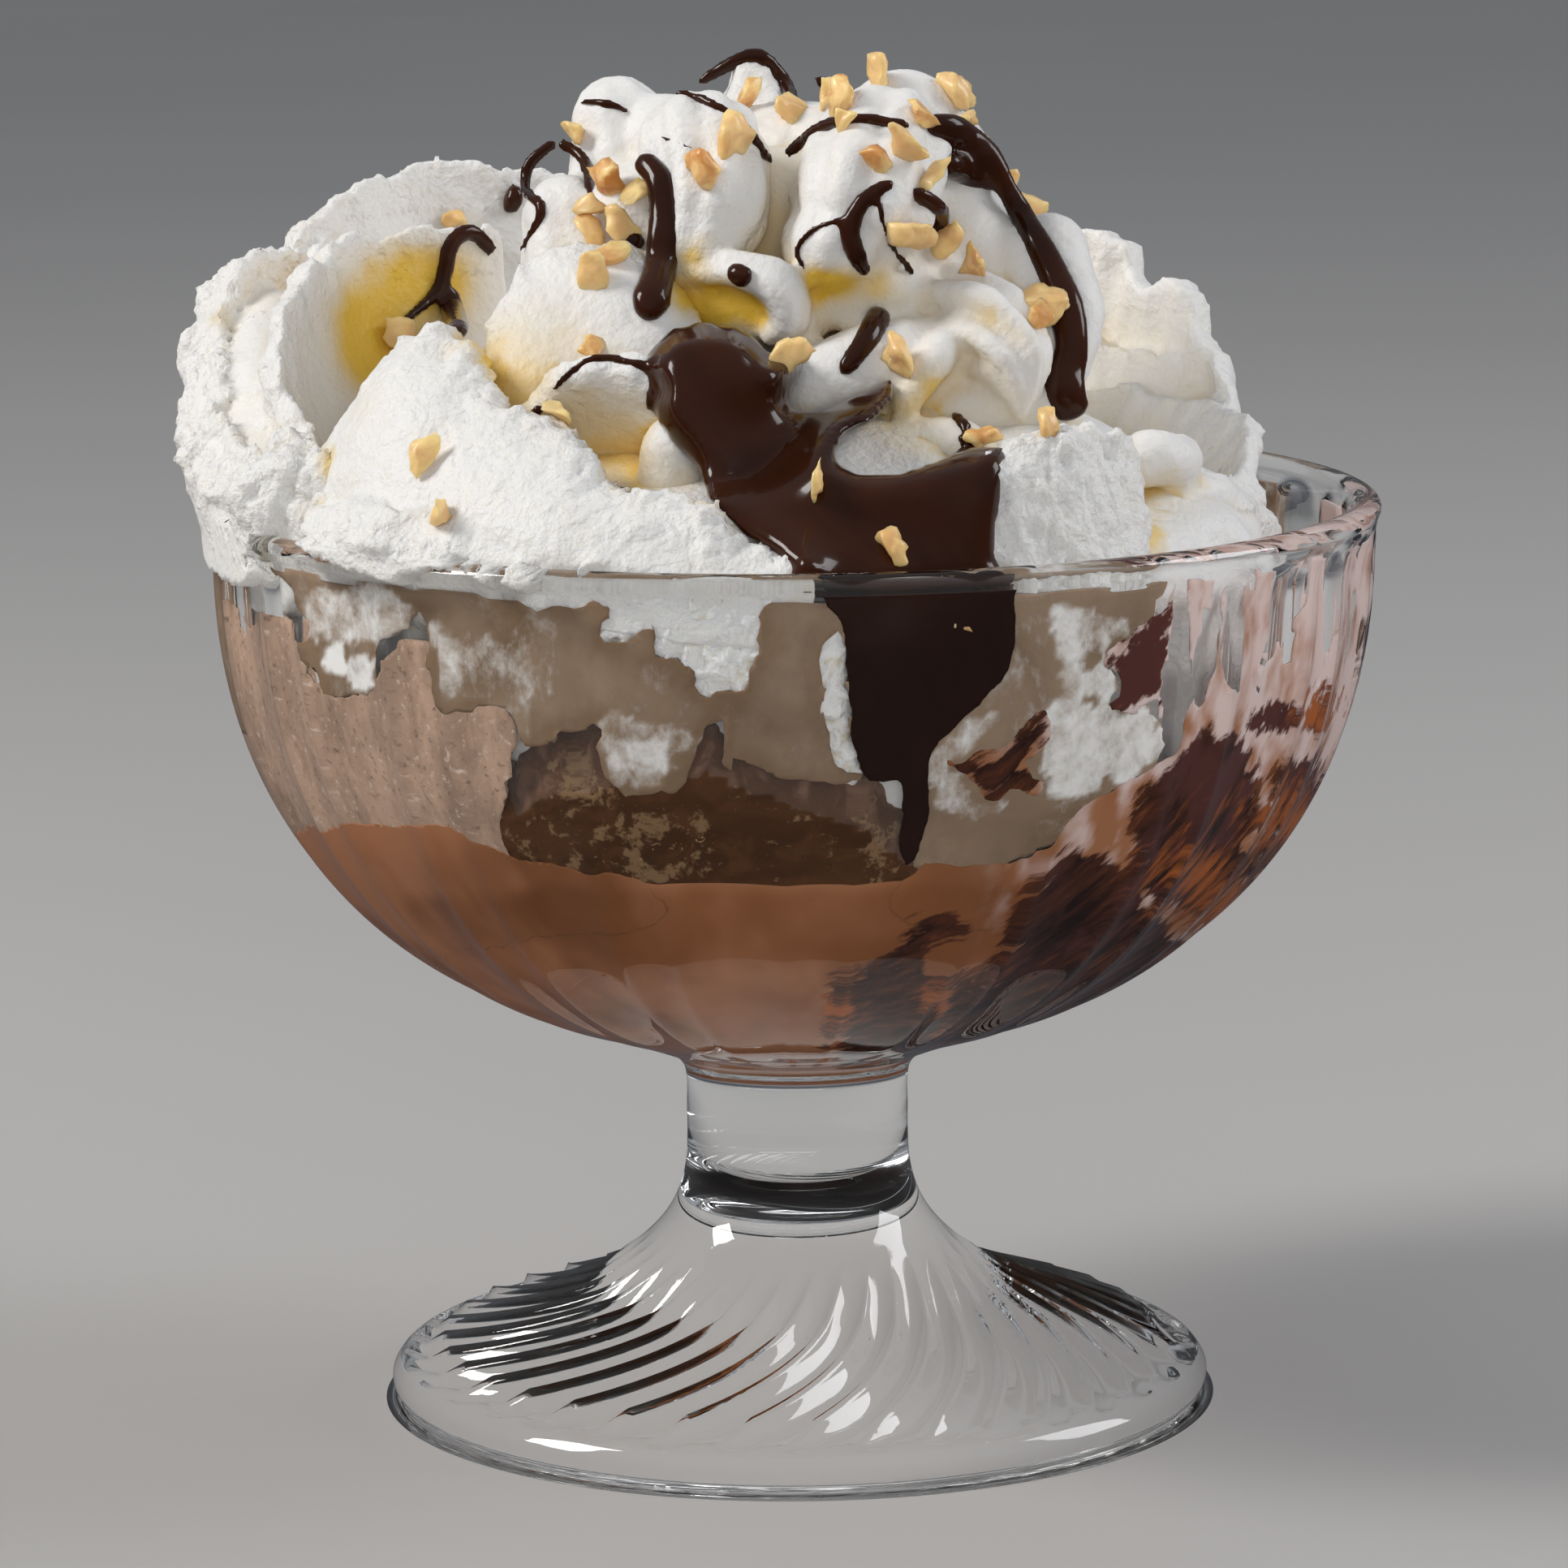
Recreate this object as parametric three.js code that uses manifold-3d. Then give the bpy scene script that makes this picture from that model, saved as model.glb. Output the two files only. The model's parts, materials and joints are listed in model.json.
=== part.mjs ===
// Affogato in a footed glass coupe: melted coffee, two scoops of ice cream, a heap of whipped cream and a pour of
// chocolate sauce. Millimetres, +Z up, origin at the middle of the foot's flat underside, -Y towards the front.
import * as THREE from "three";
import { mergeVertices } from "three/addons/utils/BufferGeometryUtils.js";
import Module from "manifold-3d";

const wasm = await Module();
wasm.setup();

// ---- Driving dimensions -------------------------------------------------------------------------------------
const glassHeight = 86.4; // foot to rim
const rimRadius = 55; // outside of the rounded lip
const bowlRadius = 54.5; // outside of the bowl below the lip
const bowlBrow = 82.2; // height at which the bowl's side stands upright
const bowlDepth = 48.2; // from the brow down to the bowl's outer pole
const bowlPower = 2.24; // superellipse power of the bowl's section, outside and inside
const sideWall = 2.7; // glass thickness at the brow
const poleWall = 5; // glass thickness at the bottom of the bowl
const stemRadius = 10.5;
const footRadius = 38.9;
const footRest = 36.9; // radius of the flat underside

const fluteCount = 18; // wide flutes round the bowl, with a narrow one between each pair
const wideFlute = { half: 6.6, depth: 0.9 }; // half width in degrees
const narrowFlute = { half: 3.6, depth: 0.5 };
const fluteTop = 80.5; // where the round end of a flute starts
const fluteArch = 3.5; // height of that round end
const fluteFoot = 36; // flutes fade out towards the stem below this height
const fluteTurn = 2.35; // bearing of the middle of a wide flute, in degrees
const swirlDepth = 0.4; // half height of the spiral ridges on the foot
const swirlTwist = 32; // degrees that a ridge turns from the flare to the edge

const gap = 0.3; // clearance between touching pieces
const coffeeLevel = 58.5;
const creamRise = 11; // how far the cream's lower edge climbs at the front, where the ice cream shows

const bowlSteps = 72; // facets round the outside of the bowl, four to a flute and its neighbour
const footSteps = 36; // facets round the stem and foot, a ridge and a valley for each turn of the swirl
const innerSteps = 36; // facets round the inside

// ---- Helpers ------------------------------------------------------------------------------------------------
const rad = THREE.MathUtils.degToRad;
const polar = (bearing, radius, height) =>
  new THREE.Vector3(radius * Math.cos(rad(bearing)), radius * Math.sin(rad(bearing)), height);

function solidOf(geometry) {
  const bare = geometry.clone();
  bare.deleteAttribute("normal");
  bare.deleteAttribute("uv");
  const merged = mergeVertices(bare, 1e-4);
  const index = Array.from(merged.index.array);
  const kept = [];
  for (let i = 0; i < index.length; i += 3) {
    const [a, b, c] = index.slice(i, i + 3);
    if (a !== b && b !== c && c !== a) kept.push(a, b, c);
  }
  const mesh = new wasm.Mesh({
    numProp: 3,
    vertProperties: new Float32Array(merged.attributes.position.array),
    triVerts: new Uint32Array(kept),
  });
  return new wasm.Manifold(mesh);
}

function geometryOf(solid) {
  const mesh = solid.getMesh();
  const geometry = new THREE.BufferGeometry();
  geometry.setAttribute("position", new THREE.BufferAttribute(mesh.vertProperties, 3));
  geometry.setIndex(new THREE.BufferAttribute(mesh.triVerts, 1));
  geometry.computeVertexNormals();
  return geometry;
}

// Moves every vertex of a geometry by a function from its old place to its new one.
function mapped(geometry, move) {
  const place = geometry.attributes.position;
  const point = new THREE.Vector3();
  for (let i = 0; i < place.count; i++) {
    point.fromBufferAttribute(place, i);
    move(point);
    place.setXYZ(i, point.x, point.y, point.z);
  }
  return geometry;
}

// A turned solid about Z from [radius, height] points that run from the bottom of the axis to its top.
function turned(points, steps) {
  const profile = points.map(([radius, height]) => new THREE.Vector2(radius, height));
  return new THREE.LatheGeometry(profile, steps).rotateX(Math.PI / 2);
}

const joined = (solids) => solids.reduce((whole, solid) => whole.add(solid));

// ---- Glass --------------------------------------------------------------------------------------------------
// The bowl's section: a superellipse quarter from its pole up to its brow.
function bowlSection(radius, depth, steps) {
  const points = [];
  for (let i = 0; i <= steps; i++) {
    const turn = (Math.PI / 2) * (i / steps);
    points.push([
      radius * Math.sin(turn) ** (2 / bowlPower),
      bowlBrow - depth * Math.cos(turn) ** (2 / bowlPower),
    ]);
  }
  return points;
}

const innerRadius = bowlRadius - sideWall;
const innerDepth = bowlDepth - poleWall;

// The room inside the glass, drawn in by a clearance, and open to well above the rim.
function cavity(clearance) {
  return solidOf(
    turned(
      [
        ...bowlSection(innerRadius - clearance, innerDepth - clearance, 7),
        [innerRadius - clearance + 0.4, glassHeight - 1.3],
        [innerRadius - clearance + 1.6, glassHeight + 0.1],
        [innerRadius - clearance + 1.6, glassHeight + 40],
        [0, glassHeight + 40],
      ],
      innerSteps,
    ),
  );
}

// How deep a ball-ended flute is at an angle from its middle and a height.
function scoopDepth({ half, depth }, angle, height) {
  const across = angle / half;
  const above = Math.max(0, height - fluteTop) / fluteArch;
  return depth * Math.max(0, 1 - across * across - above * above);
}

function fluteDepth(bearing, height) {
  const pitch = 360 / fluteCount;
  const angle = THREE.MathUtils.euclideanModulo(bearing + pitch / 2, pitch) - pitch / 2;
  const between = pitch / 2 - Math.abs(angle);
  const fade = THREE.MathUtils.smoothstep(height, fluteFoot - 2, fluteFoot + 6);
  return fade * (scoopDepth(wideFlute, angle, height) + scoopDepth(narrowFlute, between, height));
}

// Alternate columns of the foot are ridges and valleys, and both turn as they run outwards.
function foot() {
  const flareTop = 21.3;
  const flareFoot = 10.1;
  const flareRadius = 19.8;
  const flare = [0.25, 0.5, 0.75].map((t) => [
    flareRadius - (flareRadius - stemRadius) * (1 - (1 - t) ** 1.3),
    flareFoot + (flareTop - flareFoot) * t,
  ]);
  const stand = turned(
    [
      [0, 0],
      [footRest, 0],
      [footRadius - 0.4, 1],
      [footRadius, 2.3],
      [footRadius - 0.8, 3.8],
      [34, 5.2],
      [28.5, 7],
      [24, 8.6],
      [flareRadius, flareFoot],
      ...flare,
      [stemRadius, flareTop],
      [stemRadius, 31],
      [12.2, 33.4],
      [15.5, 36.4],
      [0, 36.8],
    ],
    footSteps,
  );
  const swirlStart = 14;
  const swirlEnd = footRadius - 0.8;
  const up = new THREE.Vector3(0, 0, 1);
  mapped(stand, (point) => {
    const radius = Math.hypot(point.x, point.y);
    if (radius < 1 || point.z > flareTop - 1) return;
    const onTop = point.z > 3;
    const out = onTop ? THREE.MathUtils.clamp((radius - swirlStart) / (swirlEnd - swirlStart), 0, 1) : 1;
    const column = Math.round(((Math.atan2(point.y, point.x) / Math.PI) * footSteps) / 2);
    if (onTop) point.z += (column % 2 === 0 ? 1 : -1) * swirlDepth * Math.sin(Math.PI * out) ** 0.7;
    point.applyAxisAngle(up, -rad(swirlTwist * out));
  });
  return solidOf(stand);
}

function bowl() {
  const body = turned(
    [
      ...bowlSection(bowlRadius, bowlDepth, 8),
      [bowlRadius, 84],
      [rimRadius, 85.2],
      [rimRadius - 0.5, 86.1],
      [rimRadius - 1.4, glassHeight],
      [0, glassHeight],
    ],
    bowlSteps,
  );
  mapped(body, (point) => {
    const radius = Math.hypot(point.x, point.y);
    if (radius < 1) return;
    const bearing = THREE.MathUtils.radToDeg(Math.atan2(point.y, point.x));
    const inset = 1 - fluteDepth(bearing, point.z) / radius;
    point.x *= inset;
    point.y *= inset;
  });
  return solidOf(body.rotateZ(rad(fluteTurn)));
}

// ---- Ice cream and coffee -----------------------------------------------------------------------------------
// A scoop is a ball pressed against the glass, and grow swells it so that its neighbours can be cut clear of it. Only
// what stands out of the coffee is a solid of its own: the coffee takes the room of the sunk part.
function scoop({ middle, radius }, grow) {
  const ball = new THREE.SphereGeometry(radius + grow, 18, 10);
  ball.rotateX(Math.PI / 2);
  return solidOf(mapped(ball, (point) => point.add(new THREE.Vector3(...middle))));
}

const chocolateScoop = { middle: [-6, -26, 60], radius: 24 };
const coffeeScoop = { middle: [-29, -4, 60], radius: 20 };

function slabBetween(low, high) {
  return solidOf(new THREE.BoxGeometry(200, 200, high - low).translate(0, 0, (low + high) / 2));
}

// ---- Whipped cream ------------------------------------------------------------------------------------------
// A curve through [bearing, radius, height] points.
const arc = (points) => new THREE.CatmullRomCurve3(points.map((p) => polar(...p)), false, "centripetal");

// A ribbon of cream: a thick sheet from a foot line up to a torn, ruffled crest. belly bows it away from the axis.
function petal({ crest, foot, belly = 0, thick = [9, 3], ruffle = [0.9, 7], steps = [6, 3] }) {
  const crestLine = arc(crest);
  const footLine = arc(foot);
  const sheet = new THREE.BoxGeometry(1, 1, 1, steps[0], steps[1], 1);
  const low = new THREE.Vector3();
  const high = new THREE.Vector3();
  const out = new THREE.Vector3();
  const along = new THREE.Vector3();
  mapped(sheet, (point) => {
    const u = point.x + 0.5;
    const v = point.y + 0.5;
    const side = point.z * 2;
    footLine.getPoint(u, low);
    crestLine.getPoint(u, high);
    crestLine.getTangent(u, along);
    const rise = new THREE.Vector3().subVectors(high, low).normalize();
    out.crossVectors(along, rise).normalize();
    if (out.x * (low.x + high.x) + out.y * (low.y + high.y) < 0) out.negate();
    const wave = Math.sin(u * Math.PI * ruffle[1]) * ruffle[0] * v;
    const bow = 4 * v * (1 - v) * belly;
    const ends = 1 - 0.5 * Math.abs(2 * u - 1) ** 6;
    const half = (thick[0] + (thick[1] - thick[0]) * Math.sqrt(v)) * 0.5 * ends;
    const ragged = Math.sin(u * Math.PI * ruffle[1] * 1.7 + 1) * ruffle[0] * 0.7 * v ** 3;
    point.lerpVectors(low, high, v);
    point.addScaledVector(out, bow + wave + side * half);
    point.addScaledVector(rise, ragged);
  });
  const made = solidOf(sheet);
  return made.volume() < 0 ? solidOf(flipped(sheet)) : made;
}

function flipped(geometry) {
  const turnedOver = geometry.clone();
  const index = turnedOver.index.array;
  for (let i = 0; i < index.length; i += 3) [index[i + 1], index[i + 2]] = [index[i + 2], index[i + 1]];
  return turnedOver;
}

// A soft lobe of cream: a ball stretched along the line between two points, of one radius at each end.
function lobe({ from, to, radii, steps = [8, 6] }) {
  const start = new THREE.Vector3(...from);
  const end = new THREE.Vector3(...to);
  const axis = new THREE.Vector3().subVectors(end, start);
  const ball = new THREE.SphereGeometry(1, steps[0], steps[1]);
  const turn = new THREE.Quaternion().setFromUnitVectors(
    new THREE.Vector3(0, 1, 0),
    axis.clone().normalize(),
  );
  const half = axis.length() / 2;
  mapped(ball, (point) => {
    const t = (point.y + 1) / 2;
    const radius = radii[0] + (radii[1] - radii[0]) * t;
    point.set(point.x * radius, point.y * radius + Math.sign(point.y) * half * Math.abs(point.y) ** 0.6, point.z * radius);
    point.applyQuaternion(turn).addScaledVector(start, 0.5).addScaledVector(end, 0.5);
  });
  return solidOf(ball);
}

const petals = [
  { // outer left, hanging over the rim
    crest: [[212, 52, 88], [198, 55, 89.5], [188, 57, 93.5], [178, 57, 100.5], [166, 55.5, 106.5], [152, 52, 108.5]],
    foot: [[212, 44, 82], [190, 43, 82], [152, 40, 84]],
    belly: 3, thick: [9, 4],
  },
  { // back left, the tallest of the outer ring
    crest: [[154, 53, 108.5], [143, 53.5, 112], [130, 51, 113.5], [118, 47, 112], [106, 44, 108]],
    foot: [[153, 38, 86], [130, 36, 86], [106, 34, 86]],
    belly: 3, thick: [9, 4],
  },
  { // inner left, a cup open to the right
    crest: [[205, 47, 91], [193, 48, 98], [182, 46, 106], [168, 41, 109.5], [146, 33, 109.5]],
    foot: [[205, 40, 84], [188, 34, 86], [146, 24, 90]],
    belly: 4, thick: [8, 3],
  },
  { // front left, a broad face that slopes down along the rim
    crest: [[206, 41, 97], [215, 38.5, 103.5], [226, 39, 101.5], [241, 43, 97.5], [256, 47, 91.5], [271, 50, 87]],
    foot: [[204, 47, 82], [228, 48, 82], [250, 47, 81], [271, 46, 80]],
    belly: 4, thick: [12, 3.5],
  },
  { // middle left, leaning on the heap
    crest: [[214, 33, 98], [212, 30, 105], [207, 25, 109.5], [222, 19.5, 110]],
    foot: [[232, 34, 92], [236, 31, 94], [240, 26, 98], [250, 20, 102]],
    belly: 2, thick: [9, 3],
  },
  { // small shell under the sauce
    crest: [[229, 38, 96], [236, 37.5, 100.5], [246, 36, 102], [255, 36, 98]],
    foot: [[229, 28, 92], [242, 25, 92], [255, 28, 92]],
    belly: 2, thick: [8, 2.6],
  },
  { // back
    crest: [[112, 43, 108], [98, 42, 110], [84, 41, 110], [70, 41, 106]],
    foot: [[112, 32, 86], [90, 30, 86], [70, 32, 86]],
    belly: 3, thick: [9, 4],
  },
  { // right back, a tall fan
    crest: [[74, 39, 104], [56, 38, 107.5], [42, 39.5, 108], [34, 41.5, 105.5], [27, 42.5, 101], [20, 43.5, 93.5], [12, 42, 88]],
    foot: [[74, 30, 85], [40, 28, 84], [12, 34, 83]],
    belly: 3, thick: [10, 4],
  },
  { // right, under the fan
    crest: [[22, 41, 93], [2, 40, 93.5], [345, 40, 92], [336, 42, 88]],
    foot: [[22, 33, 80], [0, 33, 80], [336, 36, 80]],
    belly: 3, thick: [9, 3.5],
  },
  { // right front
    crest: [[338, 44, 87], [328, 42, 93], [318, 42, 94.5], [308, 43, 92]],
    foot: [[338, 40, 79], [322, 40, 79], [308, 42, 79]],
    belly: 3, thick: [9, 4],
  },
  { // torn block at the right of the sauce
    crest: [[308, 45, 95], [300, 46, 96], [290, 45, 94.5]],
    foot: [[308, 47, 80], [300, 48, 80], [290, 48, 80]],
    belly: 1, thick: [8, 5],
  },
];

const lobes = [
  { from: [1, 1, 92], to: [1, 1, 108], radii: [28, 18] }, // heart of the heap
  { from: [-16, -8, 104], to: [-18.6, -4, 114.5], radii: [8, 4.4] }, // left side
  { from: [14, -3, 102], to: [14, -3, 112], radii: [13, 9] }, // right shoulder
  { from: [16, -10, 92], to: [16, -8, 104], radii: [14, 9] }, // right side
  { from: [-12, -5, 108], to: [-14.3, 3, 120.5], radii: [8.5, 5.3] }, // top left
  { from: [-7, -19, 106], to: [-8.5, -8, 118.5], radii: [7.5, 5.8] }, // upright roll
  { from: [-3, 6, 112], to: [-3.4, 11, 123.6], radii: [8, 2.8] }, // back peak
  { from: [6.5, -15, 109], to: [7.5, -6, 118], radii: [9, 7.3] }, // round lobe
  { from: [14, -1, 112], to: [12, 1, 120.6], radii: [9, 4.5] }, // top right
  { from: [-4, -22, 106], to: [-1, -21, 108], radii: [5, 5] }, // bead under the roll
  { from: [3, -23.5, 103], to: [10, -23, 102], radii: [8.5, 7.5] }, // under the round lobe
  { from: [14, -14, 106], to: [19, -30, 99.5], radii: [8, 1.4] }, // pointed tip
  { from: [8, -28, 94], to: [18, -27, 95], radii: [8, 8] }, // lower right
  { from: [-6, -30, 96], to: [-6, -29, 100], radii: [8, 6] }, // under the sauce
];

// Cream in the bowl and the low dome that the petals stand on. Its lower edge climbs at the front and left, and it
// leaves the glass free at the right.
function creamCore() {
  const bottom = coffeeLevel + gap;
  const dome = turned(
    [
      [0, bottom],
      [30, bottom],
      [53, bottom],
      [53, 84],
      [47, 88],
      [38, 93],
      [24, 98],
      [0, 98],
    ],
    30,
  );
  mapped(dome, (point) => {
    const bearing = THREE.MathUtils.radToDeg(Math.atan2(point.y, point.x));
    const radius = Math.hypot(point.x, point.y);
    const ragged = 1 + 0.35 * Math.sin(rad(bearing * 7));
    const shown = THREE.MathUtils.smoothstep(Math.cos(rad(bearing - 238)), 0.1, 0.6);
    const left = 1 + 0.45 * Math.cos(rad(bearing - 200));
    if (point.z < bottom + 1 && radius > 40) point.z += creamRise * shown * left * ragged;
    const open = Math.exp(-(((bearing - 15) / 36) ** 4));
    const drawn = 1 - 0.21 * open;
    point.x *= drawn;
    point.y *= drawn;
  });
  return solidOf(dome);
}

// ---- Chocolate sauce ----------------------------------------------------------------------------------------
// A tongue of sauce through the points of its centre line. All of its sections lie parallel: across is the way that
// they are wide, and facing is the bearing that their thickness points to.
function pour({ facing, across, line }, grow) {
  const points = line.map((p) => new THREE.Vector3(...p.at));
  const path = new THREE.CatmullRomCurve3(points, false, "centripetal");
  const tongue = new THREE.CylinderGeometry(1, 1, 1, 10, line.length + 1, false);
  const outward = polar(facing, 1, 0);
  const sideways = across === "level" ? polar(facing + 90, 1, 0) : new THREE.Vector3(0, 0, 1);
  const onwards = new THREE.Vector3().crossVectors(outward, sideways);
  if (onwards.dot(points.at(-1)) < onwards.dot(points[0])) onwards.negate();
  const level = (t, key) => {
    const place = Math.min(t * (line.length - 1), line.length - 1 - 1e-6);
    const i = Math.floor(place);
    return THREE.MathUtils.lerp(line[i][key], line[i + 1][key], place - i);
  };
  mapped(tongue, (point) => {
    const t = 0.5 - point.y;
    const { x, z } = point;
    const atEnd = t < 1e-6 ? -1 : t > 1 - 1e-6 ? 1 : 0;
    path.getPoint(t, point);
    if (x * x + z * z > 0.25) {
      point.addScaledVector(sideways, x * (level(t, "wide") + grow));
      point.addScaledVector(outward, z * (level(t, "thick") + grow));
    }
    point.addScaledVector(onwards, atEnd * grow);
  });
  const made = solidOf(tongue);
  return made.volume() < 0 ? solidOf(flipped(tongue)) : made;
}

const blob = { middle: [-6.4, -35, 100], radii: [6.8, 4.6, 5.8] };
const mainPour = { // from the blob down over the rim and along the inside of the glass to a point
  facing: 278,
  across: "level",
  line: [
    { at: [-5.6, -36.5, 99], wide: 4.5, thick: 3 },
    { at: [-2.6, -39, 95.5], wide: 6.5, thick: 3.4 },
    { at: [3.5, -43.5, 92], wide: 11.5, thick: 3.4 },
    { at: [7.5, -47, 88], wide: 11.3, thick: 3 },
    { at: [9.5, -48.6, 84], wide: 9.5, thick: 2.6 },
    { at: [12, -48.3, 80], wide: 7.5, thick: 2.6 },
    { at: [11, -48, 75], wide: 5.6, thick: 2.6 },
    { at: [11, -47, 70], wide: 2.6, thick: 2.4 },
    { at: [12, -44.7, 64], wide: 1.3, thick: 2 },
  ],
};
const sidePour = { // a wide lip that spreads to the right before it meets the rim
  facing: 285,
  across: "upright",
  line: [
    { at: [5, -42.5, 92], wide: 3, thick: 2.2 },
    { at: [12, -43, 91], wide: 3.6, thick: 2.8 },
    { at: [18.2, -43.5, 89.3], wide: 4.4, thick: 2.6 },
  ],
};

function sauce(grow) {
  const ball = new THREE.SphereGeometry(1, 12, 8);
  const [x, y, z] = blob.radii;
  ball.scale(x + grow, y + grow, z + grow).translate(...blob.middle);
  return joined([solidOf(ball), pour(mainPour, grow), pour(sidePour, grow)]);
}

// ---- Materials and assembly ---------------------------------------------------------------------------------
const finish = (color, roughness, extra = {}) =>
  new THREE.MeshStandardMaterial({ color, roughness, metalness: 0, ...extra });

const clearGlass = finish(0xe8eef2, 0.03, { transparent: true, opacity: 0.3 });
const milkyCoffee = finish(0x9a7058, 0.25);
const chocolateIce = finish(0x5b4334, 0.7);
const coffeeIce = finish(0xa58470, 0.7);
const whiteCream = finish(0xf3efe6, 0.6);
const darkSauce = finish(0x33150c, 0.12);

const affogato = new THREE.Group();

function addPiece(name, solid, material) {
  const mesh = new THREE.Mesh(geometryOf(solid), material);
  mesh.name = name;
  affogato.add(mesh);
}

const contents = cavity(gap);
const chocolateRoom = scoop(chocolateScoop, gap);
const coffeeRoom = scoop(coffeeScoop, gap);
const sauceRoom = sauce(gap);
const heap = joined([creamCore(), ...petals.map(petal), ...lobes.map(lobe)]);
const aboveRim = slabBetween(glassHeight + gap, 200);
const aboveCoffee = slabBetween(coffeeLevel + gap, 200);

addPiece("glass", bowl().subtract(cavity(0)).add(foot()), clearGlass);
addPiece("coffee", contents.intersect(slabBetween(0, coffeeLevel)), milkyCoffee);
addPiece(
  "chocolate_ice_cream",
  scoop(chocolateScoop, 0).intersect(contents).intersect(aboveCoffee).subtract(sauceRoom),
  chocolateIce,
);
addPiece(
  "coffee_ice_cream",
  scoop(coffeeScoop, 0).intersect(contents).intersect(aboveCoffee).subtract(chocolateRoom),
  coffeeIce,
);
addPiece(
  "whipped_cream",
  heap
    .intersect(contents)
    .add(heap.intersect(aboveRim))
    .subtract(chocolateRoom)
    .subtract(coffeeRoom)
    .subtract(sauceRoom),
  whiteCream,
);
addPiece("chocolate_sauce", sauce(0).intersect(contents), darkSauce);

export default affogato;
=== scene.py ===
"""Affogato in a footed glass coupe, dressed for looks.

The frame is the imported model. Each operator makes one piece or one group of like pieces: the pressed glass,
the coffee, the two scoops, the whipped cream, what clings to the glass, the chocolate sauce, the chopped nuts
and the stage.
"""
import json
import math

import bmesh
import bpy
import numpy as np
from mathutils import Matrix, Vector
from mathutils.bvhtree import BVHTree
from mathutils.kdtree import KDTree

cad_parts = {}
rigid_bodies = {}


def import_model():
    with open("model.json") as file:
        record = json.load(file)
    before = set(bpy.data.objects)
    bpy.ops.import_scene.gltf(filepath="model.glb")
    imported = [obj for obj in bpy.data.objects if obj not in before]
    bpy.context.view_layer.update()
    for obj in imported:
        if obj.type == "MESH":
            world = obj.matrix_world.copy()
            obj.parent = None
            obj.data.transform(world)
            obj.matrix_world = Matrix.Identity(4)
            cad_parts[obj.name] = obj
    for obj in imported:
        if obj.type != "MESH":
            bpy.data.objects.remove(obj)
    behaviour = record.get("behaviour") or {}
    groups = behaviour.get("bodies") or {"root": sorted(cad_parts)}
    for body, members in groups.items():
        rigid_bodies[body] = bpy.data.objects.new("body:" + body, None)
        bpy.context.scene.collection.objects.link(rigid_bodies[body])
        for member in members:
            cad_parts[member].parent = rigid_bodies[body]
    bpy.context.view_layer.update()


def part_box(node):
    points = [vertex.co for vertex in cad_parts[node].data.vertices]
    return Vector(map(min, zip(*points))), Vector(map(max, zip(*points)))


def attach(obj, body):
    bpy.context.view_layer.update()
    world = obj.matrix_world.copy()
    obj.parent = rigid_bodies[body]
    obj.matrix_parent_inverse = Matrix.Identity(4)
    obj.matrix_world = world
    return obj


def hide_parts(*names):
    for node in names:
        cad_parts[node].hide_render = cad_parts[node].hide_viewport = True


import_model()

bl_info = {
    "name": "Affogato",
    "version": (1, 0, 0),
    "blender": (4, 5, 0),
    "location": "View3D > Sidebar > Affogato",
    "description": "Builds an affogato in a footed glass: coffee, ice cream, whipped cream, sauce and nuts",
    "category": "Add Mesh",
}

GLASS_HEIGHT = 86.4  # in design millimetres, as every size and place below is unless it says otherwise
GLASS_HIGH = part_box("glass")[1]
MM = GLASS_HIGH[2] / GLASS_HEIGHT  # one design millimetre, in metres
COFFEE_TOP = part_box("coffee")[1][2] / MM
RIM = GLASS_HIGH[0] / MM
EYE = Vector((-1.0, -621.2, 167.9))  # where the camera stands
FAR = 900.0  # how far a ray from an eye looks
rng = np.random.default_rng(7)


# ---- Sizes and colours that a user would change ------------------------------
def length(name, description, default):
    return bpy.props.FloatProperty(
        name=name, description=description, default=default * MM, min=0.0, unit="LENGTH", subtype="DISTANCE"
    )


def colour(name, description, default):
    return bpy.props.FloatVectorProperty(
        name=name, description=description, default=default, size=3, min=0.0, max=1.0, subtype="COLOR"
    )


def whole(name, description, default):
    return bpy.props.IntProperty(name=name, description=description, default=default, min=0)


class AffogatoGlass(bpy.types.PropertyGroup):
    """The pressed glass."""

    foot_radius: length("Foot radius", "Outside of the foot", 38.9)
    flute_depth: length("Flute depth", "Depth of the wide flutes round the bowl", 1.2)
    swirl_depth: length("Swirl depth", "Half height of the spiral ridges on the foot", 1.0)
    flutes: whole("Flutes", "Wide flutes round the bowl, with a narrow one between each pair", 18)
    tint: colour("Tint", "Colour of the glass", (0.97, 0.98, 0.98))


class AffogatoCoffee(bpy.types.PropertyGroup):
    """The coffee and the ice cream in it."""

    level: length("Level", "Height of the coffee's surface above the table", COFFEE_TOP)
    coffee: colour("Coffee", "Milky coffee", (0.27, 0.098, 0.034))
    chocolate_ice: colour("Chocolate ice cream", "Pressed against the glass", (0.098, 0.040, 0.014))
    coffee_ice: colour("Coffee ice cream", "Foamy, at the left", (0.46, 0.31, 0.225))


class AffogatoCream(bpy.types.PropertyGroup):
    """The whipped cream."""

    grain: length("Grain", "Size of the finest folds that are modelled", 0.55)
    torn: length("Torn edge", "How far the torn crests wander", 0.9)
    light: colour("Cream", "Cream in the open", (0.82, 0.81, 0.79))
    # shade is painted warm shade for the folds, and deep is a painted yellow glow of light through the cream
    # at their bottom
    shade: colour("Shaded cream", "Warm cream in the folds", (0.77, 0.66, 0.47))
    deep: colour("Deep cream", "Cream at the bottom of the folds", (0.78, 0.50, 0.055))


class AffogatoSauce(bpy.types.PropertyGroup):
    """The chocolate sauce."""

    grain: length("Grain", "Size of the finest detail that is modelled", 0.4)
    sauce: colour("Sauce", "Dark chocolate sauce", (0.042, 0.0115, 0.0042))


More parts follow.
